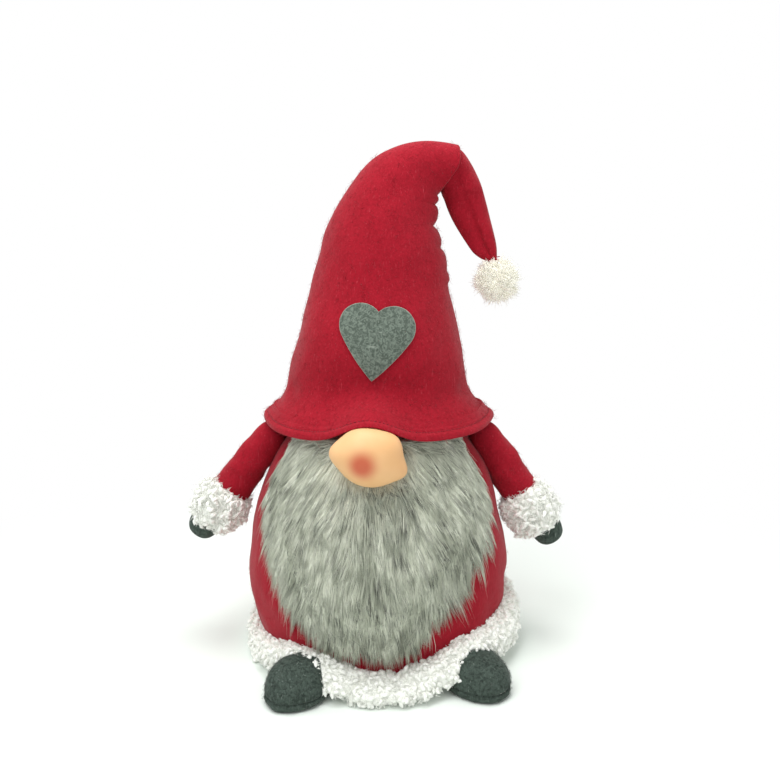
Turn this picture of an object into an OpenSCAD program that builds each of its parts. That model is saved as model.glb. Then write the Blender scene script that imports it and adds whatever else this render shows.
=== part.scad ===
// Tomte gnome: a stuffed felt figure with a tall hat that folds over, a long beard,
// a sherpa hem, two sewn arms and two felt boots.
// It stands on Z = 0, faces -Y, and its own left hand is on +X.

/* [Body] */
// Largest radius of the stuffed body
body_r = 119; // [112:0.5:121]
// Height of the body's widest ring
body_wide_z = 66; // [60:1:72]
// Radius of the flat bottom
base_r = 100; // [96:0.5:102]
// Height of the body's closed top, inside the hat
body_top_z = 241; // [236:1:246]
// Thickness of the felt
felt_t = 2; // [1.5:0.1:2.4]

/* [Hat] */
// Height of the brim's lower edge above the floor
brim_z = 203.4; // [202.5:0.1:205]
// How far the brim's edge arches up over the nose
brim_arch = 17; // [14:0.5:20]
// Distance from the brim's edge up to its stitch line
stitch_up = 7; // [6:0.5:9]
// Thickness of the stitching thread
thread_d = 0.9; // [0.6:0.1:1.2]

/* [Beard and nose] */
// Thickness of the beard's hair down the front
beard_t = 17; // [14:0.5:19]
// Width of the nose
nose_w = 60; // [54:1:62]
// Height of the nose
nose_h = 46; // [42:1:47]
// Depth of the nose from front to back
nose_d = 44; // [38:1:46]

/* [Arms] */
// Radius of a stuffed sleeve
sleeve_r = 14; // [12:0.5:14.5]
// Radius of a sherpa cuff
cuff_r = 22; // [19:0.5:23]
// Angle of the figure's left arm from vertical
arm_angle_left = 33; // [33:1:38]
// Angle of the figure's right arm from vertical
arm_angle_right = 37; // [33:1:42]

/* [Boots and hem] */
// Width of a boot
boot_w = 50; // [44:1:54]
// Height of a boot
boot_h = 31; // [27:1:33]
// Angle between each boot and the straight-ahead direction
boot_splay = 33; // [30:1:37]
// Thickness of the hem's sherpa roll at the front, from the body outwards
hem_depth = 23; // [18:1:26]
// Thickness of the roll at the sides and the back
hem_side_depth = 5; // [4:1:9]

/* [Pompom and heart] */
// Radius of the pompom
pompom_r = 17; // [14:0.5:18]
// Width of the heart patch
heart_w = 60; // [50:1:66]
// Thickness of the heart's felt
heart_t = 2; // [1:0.1:3]

/* [Hidden] */

RED = [0.69, 0.10, 0.17];
WHITE = [0.95, 0.93, 0.90];
CHARCOAL = [0.24, 0.28, 0.27];
GREY = [0.43, 0.50, 0.46];
FILL = [0.93, 0.92, 0.88];
FLESH = [0.89, 0.68, 0.47];

gap = 0.3;                     // room between pieces that don't touch
fit = 0.1;                     // room between a shell and what it holds
eps = 0.01;
far = 400;
sides = 40;                    // corners of the swept rings
egg_steps = 22;

// ---- the egg-shaped body -------------------------------------------------------
// The lower and upper halves are each part of an ellipse.
low_reach = body_wide_z / sqrt(1 - pow(base_r / body_r, 2));
high_reach = body_top_z - body_wide_z;

function egg_r(z) =
    z < body_wide_z
    ? body_r * sqrt(1 - pow((body_wide_z - z) / low_reach, 2))
    : body_r * sqrt(max(0, 1 - pow((z - body_wide_z) / high_reach, 2)));

// Points of the egg's outline from height z0 to its top, moved outwards by grow.
function egg_points(z0, grow) = concat(
    [for (i = [0:7])
        let (z = z0 + (body_wide_z - z0) * i / 8) [egg_r(z) + grow, z]],
    [for (i = [0:egg_steps])
        let (a = 90 * i / egg_steps)
            [(body_r + grow) * cos(a), body_wide_z + (high_reach + grow) * sin(a)]]);

module egg(z0, grow) {
    rotate_extrude($fn = 96) polygon(concat([[0, z0]], egg_points(z0, grow)));
}

module base_cloth() {
    color(CHARCOAL) cylinder(r = base_r - 0.6, h = 1.5, $fn = 96);
}

board_t = 3;
board_z = 1.5;
module base_board() {
    color("Tan") translate([0, 0, board_z])
        cylinder(r = base_r - felt_t - 1, h = board_t, $fn = 96);
}

bag_r = 78;
bag_h = 30;
bag_z = board_z + board_t;
module bag_form(cut) {
    translate([0, 0, bag_z]) rotate_extrude($fn = 72)
        polygon(concat([[0, cut], [bag_r - 14, cut]],
            [for (a = [-60:20:80])
                [bag_r - 16 + (16 - cut) * cos(a), bag_h / 2 + (bag_h / 2 - cut) * sin(a)]],
            [[0, bag_h - cut]]));
}

module ballast_bag() {
    color("Wheat") difference() { bag_form(0); bag_form(1); }
}

module ballast_fill() {
    color("Silver") bag_form(1 + fit);
}

module body_shell() {
    color(RED) difference() {
        egg(0, 0);
        egg(1.5, -felt_t);
        translate([0, 0, -1]) cylinder(r = base_r - 0.5, h = 2.5 + eps, $fn = 96);
    }
}

module body_stuffing() {
    color(FILL) difference() {
        egg(bag_z + 0.2, -felt_t - fit);
        translate([0, 0, 0.1]) bag_form(-0.2);
    }
}

// ---- swept rings ---------------------------------------------------------------
// A solid whose rings each have sides points, closed at both ends by fans.
function ring_faces(rings) = concat(
    [[for (j = [0:sides - 1]) j]],
    [for (i = [0:rings - 2], j = [0:sides - 1])
        let (k = (j + 1) % sides, a = i * sides)
            [a + j, a + sides + j, a + sides + k]],
    [for (i = [0:rings - 2], j = [0:sides - 1])
        let (k = (j + 1) % sides, a = i * sides)
            [a + j, a + sides + k, a + k]],
    [[for (j = [sides - 1:-1:0]) (rings - 1) * sides + j]]);

module ring_solid(points, rings) {
    polyhedron(points = points, faces = ring_faces(rings), convexity = 6);
}

// ---- hat -------------------------------------------------------------------------
// The crown's rings from the brim to the fold: [x, z, radius, tilt towards +X].
HAT_RINGS = [
    [0.5, brim_z, 104.8, 0], [0, 211, 101, 0], [-0.5, 219, 93, 0], [0, 228, 87, 0],
    [0.3, 242, 82, 0], [0.5, 271, 75.5, 0], [1.8, 300, 68.3, 0], [2, 328, 60.9, 0],
    [3.3, 356, 54.9, 0], [5.1, 383, 47, 2], [11.5, 398.5, 42, 9], [18, 408, 37.6, 17],
    [26, 418.5, 33.8, 33], [36, 424.7, 28.6, 48], [48, 427.2, 23.6, 74],
    [54.5, 427.6, 22, 90]];
hat_rings = len(HAT_RINGS);
brim_blend_z = 250;            // height at which the arch over the nose has died away
arch_spread = 17;              // half-width of that arch, in degrees round the brim
arch_a = -93;                  // its middle, where -90 is straight ahead

// The brim's rise at angle a round the axis.
function arch(a, z) =
    let (off = abs(((a - arch_a + 180) % 360) - 180))
        brim_arch * exp(-pow(off / arch_spread, 2)) * max(0, (brim_blend_z - z) /
            (brim_blend_z - brim_z));

function hat_ring(ring, grow, push, slope) =
    [for (j = [0:sides - 1])
        let (a = 360 * j / sides, r = ring[2] + grow + push * slope, t = ring[3])
            [ring[0] + push * sin(t) + r * cos(a) * cos(t),
             r * sin(a),
             ring[1] + push * cos(t) - r * cos(a) * sin(t) + arch(a, ring[1])]];

// How fast the crown widens between two of its rings.
function hat_slope(i, k) = (HAT_RINGS[k][2] - HAT_RINGS[i][2]) /
    norm([HAT_RINGS[k][0] - HAT_RINGS[i][0], HAT_RINGS[k][1] - HAT_RINGS[i][1]]);

// Rings first to last of the crown, moved outwards by grow. Each end is moved by its
// push along the crown's own slope.
module crown(first, last, grow, push_first, push_last) {
    points = [for (i = [first:last])
        each hat_ring(HAT_RINGS[i], grow,
            i == first ? push_first : (i == last ? push_last : 0),
            i == first ? hat_slope(i, i + 1) : hat_slope(i - 1, i))];
    ring_solid(points, last - first + 1);
}

module hat_shell() {
    color(RED) difference() {
        crown(0, hat_rings - 1, 0, 0, 0);
        crown(0, hat_rings - 1, -felt_t, -1, 1);
    }
}

// The turned-up hem inside the brim.
module hat_hem_facing() {
    color(RED) difference() {
        crown(0, 1, -felt_t - gap, 0.5, 0);
        crown(0, 1, -2 * felt_t - fit, -1, 1);
    }
}

module hat_stuffing() {
    color(FILL) difference() {
        crown(3, hat_rings - 3, -felt_t - 2 * gap, 2, 0);
        egg(150, gap);
        gather_path(0.8);
    }
}

// The taut thread that puckers the crown's inner side and bends it over.
gather_low = [53, 345];
gather_high = [45.5, 393];
gather_r = 0.6;
module gather_path(grow) {
    run = gather_high - gather_low;
    translate([gather_low[0], 0, gather_low[1]]) rotate([0, atan2(run[0], run[1]), 0])
        translate([0, 0, -grow]) cylinder(r = gather_r + grow, h = norm(run) + 2 * grow, $fn = 24);
}

module hat_gather_thread() {
    color(RED) gather_path(0);
}

// One closed loop of thread that follows the brim's stitch line.
stitch_sides = 72;
module brim_stitching() {
    tube = 6;
    share = stitch_up / (HAT_RINGS[1][1] - brim_z);
    line_r = HAT_RINGS[0][2] + (HAT_RINGS[1][2] - HAT_RINGS[0][2]) * share;
    centre_r = line_r + thread_d / 2 + 0.5;
    points = [for (i = [0:stitch_sides - 1], j = [0:tube - 1])
        let (a = 360 * i / stitch_sides, b = 360 * j / tube,
             r = centre_r + thread_d / 2 * cos(b),
             z = brim_z + stitch_up)
            [HAT_RINGS[1][0] + r * cos(a), r * sin(a),
             z + arch(a, z) + thread_d / 2 * sin(b)]];
    faces = [for (i = [0:stitch_sides - 1], j = [0:tube - 1], h = [0:1])
        let (n = (i + 1) % stitch_sides, m = (j + 1) % tube)
            h == 0 ? [i * tube + j, n * tube + m, n * tube + j]
                   : [i * tube + j, i * tube + m, n * tube + m]];
    color("DarkRed") polyhedron(points = points, faces = faces, convexity = 6);
}

// ---- heart -----------------------------------------------------------------------
heart_z = 283;
heart_x = 3;
heart_tilt = 6;
heart_lobe = heart_w * 0.27;
heart_drop = heart_w * 0.62;
module heart_outline() {
    for (side = [-1, 1])
        translate([side * (heart_w / 2 - heart_lobe), heart_w * 0.2])
            circle(r = heart_lobe, $fn = 48);
    polygon([[-heart_w * 0.46, heart_w * 0.09], [0, -heart_drop + heart_w * 0.13],
             [heart_w * 0.46, heart_w * 0.09], [heart_w * 0.2, heart_w * 0.36],
             [0, heart_w * 0.3], [-heart_w * 0.2, heart_w * 0.36]]);
}

// The patch follows the crown's outer face.
module heart_patch() {
    color(GREY) difference() {
        intersection() {
            crown(4, 7, heart_t + 0.3, 0, 0);
            translate([heart_x, 0, heart_z]) rotate([90, heart_tilt, 0])
                linear_extrude(far) heart_outline();
        }
        crown(3, 8, 0.3, 0, 0);
    }
}

// ---- beard and nose ------------------------------------------------------------
// Half of the beard's outline from the brim down to its pointed end.
BEARD_EDGE = [[90, 204], [96, 180], [100, 150], [99, 122], [94, 98], [84, 73],
              [68, 50], [49, 35], [28, 28], [8, 26]];
beard_front_y = -32;           // the beard lies in front of this plane
beard_side_t = 8;              // its thickness at the sides
module beard_outline(shrink) {
    half = [for (p = BEARD_EDGE) [p[0] - shrink, p[1] + shrink / 2]];
    polygon(concat(half, [for (i = [len(half) - 1:-1:0]) [-half[i][0], half[i][1]]]));
}

module beard_zone(shrink) {
    translate([0, beard_front_y, 0]) rotate([90, 0, 0])
        linear_extrude(far) beard_outline(shrink);
}

// The beard leans away from the body near the brim, so its outline is fuller there.
module beard_form() {
    lip_r = 98;
    translate([0, -(beard_t - beard_side_t), 0]) rotate_extrude($fn = 96)
        polygon(concat([[0, 20]],
            [for (i = [0:12])
                let (z = 20 + 184 * i / 12,
                     r = max(egg_r(z) + beard_side_t,
                         z > 150 ? lip_r - 9 + (204 - z) * 0.36 : 0))
                    [r, z]], [[0, 204]]));
}

module beard() {
    color("Gainsboro") difference() {
        intersection() { beard_form(); beard_zone(0); }
        egg(10, 1.6);
        nose_form(gap);
        hem_form(gap);
    }
}

module beard_backing() {
    color("DimGray") difference() {
        intersection() { egg(10, 1.4); beard_zone(8); }
        egg(5, 0.2);
        nose_form(gap);
        hem_form(gap);
    }
}

nose_x = -5;
nose_y = -112;
nose_z = 192.5;
// The nose is a stuffed lemon: a bulged middle with one blunt corner at each side.
module nose_form(grow) {
    steps = 14;
    points = [for (i = [0:steps], j = [0:sides - 1])
        let (s = -1 + 2 * i / steps, a = 360 * j / sides,
             round = sqrt(max(0.004, 1 - pow(abs(s), 2.1))),
             dip = 5 * s)
            [nose_x + s * (nose_w / 2 + grow),
             nose_y + (nose_d / 2 + grow) * round * cos(a),
             nose_z - dip + (nose_h / 2 + grow) * round * sin(a)]];
    ring_solid(points, steps + 1);
}

module nose_cover() {
    color(FLESH) difference() { nose_form(0); nose_form(-1.2); }
}

module nose_stuffing() {
    color(FILL) nose_form(-1.2 - fit);
}

// ---- hem -------------------------------------------------------------------------
hem_steps = 48;
hem_h = 17;
hem_front_a = -88;             // direction in which the roll is thickest
hem_in_r = 98;                 // the roll is cut to the body, so it starts well inside
boot_yaw = 5;                  // both boots turn this much towards the figure's left
boot_left_a = -90 + boot_splay + boot_yaw;
boot_right_a = -90 - boot_splay + boot_yaw;

function bump(a, centre, spread) =
    let (off = abs(((a - centre + 540) % 360) - 180)) exp(-pow(off / spread, 2));

// The roll's outer radius.
function hem_out_r(a) = body_r + hem_side_depth +
    (hem_depth - hem_side_depth) * bump(a, hem_front_a, 48) + 6 * bump(a, 0, 35);

// Height of the roll's middle: it climbs over each boot and is high on the left.
function hem_z(a) = hem_h / 2 + 15 * bump(a, boot_left_a, 22) +
    15 * bump(a, boot_right_a, 20) + 18 * bump(a, 4, 40) + 6 * bump(a, 180, 45);

// Half of the roll's height: it hangs deeper at both sides.
function hem_half(a) = hem_h / 2 + 1 + 11 * bump(a, 4, 40) + 5 * bump(a, 180, 45);

// The roll's section is a rounded square, and its inner side is hidden in the body.
function soft_square(x) = sign(x) * pow(abs(x), 0.7);
module hem_form(grow) {
    tube = 14;
    points = [for (i = [0:hem_steps - 1], j = [0:tube - 1])
        let (a = 360 * i / hem_steps, b = 360 * j / tube,
             half_r = (hem_out_r(a) - hem_in_r) / 2,
             r = hem_in_r + half_r + (half_r + grow) * soft_square(cos(b)))
            [r * cos(a), r * sin(a),
             hem_z(a) + (hem_half(a) + grow) * soft_square(sin(b))]];
    faces = [for (i = [0:hem_steps - 1], j = [0:tube - 1], h = [0:1])
        let (n = (i + 1) % hem_steps, m = (j + 1) % tube)
            h == 0 ? [i * tube + j, n * tube + m, n * tube + j]
                   : [i * tube + j, i * tube + m, n * tube + m]];
    polyhedron(points = points, faces = faces, convexity = 6);
}

module hem_trim() {
    color(WHITE) difference() {
        hem_form(0);
        translate([0, 0, -20]) cylinder(r = 200, h = 20, $fn = 24);
        egg(-1, 0.2);
        for (a = [boot_left_a, boot_right_a]) boot_place(a) boot_form(gap);
    }
}

// ---- boots -----------------------------------------------------------------------
boot_mid_r = 134;              // distance from the axis to the middle of a boot
boot_half_l = 32;
module boot_place(a) {
    rotate([0, 0, a]) translate([boot_mid_r, 0, 0]) children();
}

// A rounded foot: its flat sole at Z = 0, its toe on +X.
module boot_form(grow) {
    steps = 9;
    points = [for (i = [0:steps], j = [0:sides - 1])
        let (s = i / steps, a = 360 * j / sides,
             swell = s < 0.12 ? 0.93 + 0.58 * s
                              : sqrt(1 - 0.985 * pow((s - 0.12) / 0.88, 2.4)))
            [(boot_half_l + grow) * swell * cos(a) - 4 * s,
             (boot_w / 2 + grow) * swell * sin(a),
             (boot_h + grow) * s]];
    ring_solid(points, steps + 1);
}

sole_t = 2.5;
module boot_sole_cut(z0, z1) {
    translate([-100, -100, z0]) cube([200, 200, z1 - z0]);
}

module boot_sole(a) {
    color("DimGray") difference() {
        boot_place(a) intersection() { boot_form(0); boot_sole_cut(-1, sole_t); }
        egg(-1, 0.3);
    }
}

module boot_upper(a) {
    color(CHARCOAL) difference() {
        boot_place(a) difference() {
            boot_form(0);
            boot_form(-felt_t);
            boot_sole_cut(-1, sole_t + fit);
        }
        egg(-1, 0.3);
    }
}

module boot_stuffing(a) {
    color(FILL) difference() {
        boot_place(a) difference() {
            boot_form(-felt_t - fit);
            boot_sole_cut(-1, sole_t + 2 * fit);
        }
        egg(-1, 0.5);
    }
}

module boot_sole_left() { boot_sole(boot_left_a); }
module boot_sole_right() { boot_sole(boot_right_a); }
module boot_upper_left() { boot_upper(boot_left_a); }
module boot_upper_right() { boot_upper(boot_right_a); }
module boot_stuffing_left() { boot_stuffing(boot_left_a); }
module boot_stuffing_right() { boot_stuffing(boot_right_a); }

// ---- arms ------------------------------------------------------------------------
shoulder_x = 98;
shoulder_y = -5;
shoulder_z = 189.5;
sleeve_len = 72;
sleeve_top_r = 8.5;
tab_r = 3;
tab_ball_r = 5;
raise_max = 45;                // how far an arm lifts, in degrees
cuff_from = 60;                // distances down the arm, from the shoulder
cuff_to = 97;
hand_from = 76;
hand_len = 36;
hand_r = 15;

// side is +1 for the figure's left arm, and children hang down the arm on -Z.
module arm_place(side) {
    translate([side * shoulder_x, shoulder_y, shoulder_z])
        rotate([0, -side * (side > 0 ? arm_angle_left : arm_angle_right), 0]) children();
}

// A sleeve's outline, [radius, distance down the arm], closed on the axis.
function sleeve_points(shrink) = concat(
    [for (i = [0:6]) let (a = 90 - 15 * i)
        [(sleeve_top_r - shrink) * cos(a), -(sleeve_top_r - shrink) * sin(a)]],
    [for (d = [10:10:sleeve_len - 6])
        [sleeve_top_r + (sleeve_r - sleeve_top_r) * sqrt(min(1, d / 26)) - shrink, d]],
    [[sleeve_r - shrink, sleeve_len - shrink], [0, sleeve_len - shrink]]);

module down_arm(points) {
    mirror([0, 0, 1]) rotate_extrude($fn = 48) polygon(points);
}

module sleeve(side) {
    color(RED) arm_place(side) difference() {
        down_arm(sleeve_points(0));
        down_arm(sleeve_points(1.8));
        tab_room(side);
    }
}

module arm_stuffing(side) {
    color(FILL) arm_place(side) difference() {
        down_arm(sleeve_points(1.8 + fit));
        tab_room(side);
    }
}

// The room round the shoulder's tab, as wide as the arm's whole lift.
module tab_room(side) {
    rest = side > 0 ? arm_angle_left : arm_angle_right;
    half = tab_r + 0.6;
    reach = 16;
    sphere(r = tab_ball_r + 0.5, $fn = 32);
    rotate([0, side * rest, 0]) rotate([90, 0, 0])
        translate([0, 0, -half]) linear_extrude(2 * half)
            polygon(concat(
                [[0, -half]],
                [for (a = [0:raise_max / 5:raise_max])
                    [-side * reach * cos(a), reach * sin(a) - (a == 0 ? half : 0)]],
                [[-side * reach * cos(raise_max) + side * half * 0.7,
                  reach * sin(raise_max) + half * 0.7],
                 [side * half * 0.7, half * 0.7]]));
}

// A stub of doubled felt, sewn to the body, whose knotted end holds the sleeve.
module shoulder_tab(side) {
    color(RED) translate([side * shoulder_x, shoulder_y, shoulder_z]) {
        sphere(r = tab_ball_r, $fn = 32);
        rotate([0, -side * 90, 0]) cylinder(r = tab_r, h = 9.4, $fn = 32);
    }
}

module cuff(side) {
    mid = (cuff_from + cuff_to) / 2;
    half = (cuff_to - cuff_from) / 2;
    color(WHITE) arm_place(side) difference() {
        down_arm(concat([[0, cuff_from]],
            [for (a = [-80:20:80]) [cuff_r - 9 + 9 * cos(a), mid + half * sin(a)]],
            [[0, cuff_to]]));
        down_arm([[0, 0], [sleeve_r + fit, 0],
                  [sleeve_r + fit, sleeve_len + fit], [0, sleeve_len + fit]]);
        down_arm(hand_points(-fit));
    }
}

function hand_points(shrink) = concat(
    [[0, hand_from + shrink], [hand_r - 5 - shrink, hand_from + shrink]],
    [for (i = [0:8]) let (a = 10 * i)
        [hand_r * sqrt(1 - pow(max(0, i - 2) / 6.2, 2)) - shrink,
         hand_from + 6 + (hand_len - 6 - shrink) * sin(a)]],
    [[0, hand_from + hand_len - shrink]]);

module mitten(side) {
    color(CHARCOAL) arm_place(side) difference() {
        down_arm(hand_points(0));
        down_arm(hand_points(1.6));
    }
}

module mitten_stuffing(side) {
    color(FILL) arm_place(side) down_arm(hand_points(1.6 + 3 * fit));
}

module shoulder_tab_left() { shoulder_tab(1); }
module shoulder_tab_right() { shoulder_tab(-1); }
module sleeve_left() { sleeve(1); }
module sleeve_right() { sleeve(-1); }
module arm_stuffing_left() { arm_stuffing(1); }
module arm_stuffing_right() { arm_stuffing(-1); }
module cuff_left() { cuff(1); }
module cuff_right() { cuff(-1); }
module mitten_left() { mitten(1); }
module mitten_right() { mitten(-1); }
module mitten_stuffing_left() { mitten_stuffing(1); }
module mitten_stuffing_right() { mitten_stuffing(-1); }

// ---- hat tip and pompom --------------------------------------------------------
fold_x = 63.2;
fold_z = 428;
tip_tilt = 152;                // direction in which the tip hangs
fold_ball_r = 18.5;            // the tip's round end, on which it swings at the fold
// The tip's rings below its round end: [x, z, half-width, half-thickness].
TIP_RINGS = [[69.5, 416, 17.5, 15.5], [76.5, 403, 17, 13.5], [83.5, 389, 17, 12],
             [91, 374, 15.5, 10.5], [98, 361, 12, 9], [103, 353, 7, 6.5]];
tip_dome = [for (k = [12:13:90])
    [fold_x - fold_ball_r * cos(k) * sin(tip_tilt),
     fold_z - fold_ball_r * cos(k) * cos(tip_tilt),
     fold_ball_r * sin(k), fold_ball_r * sin(k)]];
tip_all = concat(tip_dome, TIP_RINGS);

// The tip's outer form, or its hollow when it is shrunk and each end is drawn in.
module tip_form(shrink) {
    last = len(tip_all) - 1;
    points = [for (i = [0:last], j = [0:sides - 1])
        let (ring = tip_all[i], a = 360 * j / sides,
             w = max(ring[2] - shrink, 1.5), t = max(ring[3] - shrink, 1.5),
             draw = i == 0 ? shrink : (i == last ? -shrink : 0))
            [ring[0] + draw * sin(tip_tilt) + w * cos(a) * cos(tip_tilt), t * sin(a),
             ring[1] + draw * cos(tip_tilt) - w * cos(a) * sin(tip_tilt)]];
    ring_solid(points, last + 1);
}

module hat_tip() {
    color(RED) difference() { tip_form(0); tip_form(felt_t); }
}

pompom_x = 106.5;
pompom_z = 331.5;
thread_top_z = 350.5;
module pompom_thread() {
    color("Crimson") translate([pompom_x, 0, pompom_z + pompom_r + 0.4])
        cylinder(r = 1.2, h = thread_top_z - pompom_z - pompom_r, $fn = 16);
}

core_r = 6;
module pompom() {
    color(WHITE) translate([pompom_x, 0, pompom_z]) difference() {
        sphere(r = pompom_r, $fn = 48);
        sphere(r = core_r + fit, $fn = 32);
    }
}

module pompom_core() {
    color(FILL) translate([pompom_x, 0, pompom_z]) sphere(r = core_r, $fn = 32);
}

base_cloth();
base_board();
ballast_bag();
ballast_fill();
body_shell();
body_stuffing();
hem_trim();
beard_backing();
beard();
nose_cover();
nose_stuffing();
hat_shell();
hat_hem_facing();
brim_stitching();
hat_stuffing();
hat_gather_thread();
heart_patch();
boot_upper_left();
boot_upper_right();
boot_sole_left();
boot_sole_right();
boot_stuffing_left();
boot_stuffing_right();
shoulder_tab_left();
shoulder_tab_right();
sleeve_left();
sleeve_right();
arm_stuffing_left();
arm_stuffing_right();
cuff_left();
cuff_right();
mitten_left();
mitten_right();
mitten_stuffing_left();
mitten_stuffing_right();
hat_tip();
pompom_thread();
pompom();
pompom_core();
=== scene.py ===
"""A stuffed felt gnome: hat, beard, nose, sewn arms, sherpa hem and felt boots.

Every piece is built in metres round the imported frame. Sizes are given in millimetres
and turned into metres by MM, and each sub-assembly is a class with its own sizes.
"""
import logging
import math
from dataclasses import dataclass, field
from enum import Enum
from typing import Callable, Protocol, Sequence

import bpy
import numpy as np
from mathutils import Matrix, Vector
from mathutils.bvhtree import BVHTree
from mathutils.kdtree import KDTree


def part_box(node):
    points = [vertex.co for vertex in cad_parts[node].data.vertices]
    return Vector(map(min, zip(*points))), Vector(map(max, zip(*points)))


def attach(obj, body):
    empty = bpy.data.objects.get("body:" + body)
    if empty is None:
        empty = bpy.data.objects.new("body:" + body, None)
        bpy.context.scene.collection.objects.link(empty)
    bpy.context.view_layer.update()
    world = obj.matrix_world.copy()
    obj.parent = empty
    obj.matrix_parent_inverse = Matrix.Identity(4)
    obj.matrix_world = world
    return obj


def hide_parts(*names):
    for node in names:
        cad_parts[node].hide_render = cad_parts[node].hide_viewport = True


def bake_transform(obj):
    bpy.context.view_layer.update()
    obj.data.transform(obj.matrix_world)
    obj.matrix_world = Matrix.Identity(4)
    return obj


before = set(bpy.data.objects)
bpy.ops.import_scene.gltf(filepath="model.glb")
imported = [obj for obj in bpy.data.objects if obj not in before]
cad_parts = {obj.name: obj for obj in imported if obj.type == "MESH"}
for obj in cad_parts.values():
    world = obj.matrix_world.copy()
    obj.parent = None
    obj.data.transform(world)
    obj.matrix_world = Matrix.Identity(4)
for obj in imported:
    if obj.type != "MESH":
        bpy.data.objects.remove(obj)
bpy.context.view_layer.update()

MM = 0.001
LOG = logging.getLogger("gnome")
Colour = tuple[float, float, float]
Socket = bpy.types.NodeSocket
Points = np.ndarray
Mover = Callable[[Points], Points]


class Side(Enum):
    """The figure's own left and right, as the sign of X."""

    LEFT = 1
    RIGHT = -1

    @property
    def label(self) -> str:
        """The side's name, as the frame's nodes and bodies spell it."""
        return self.name.lower()


# ---- materials ---------------------------------------------------------------------


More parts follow.
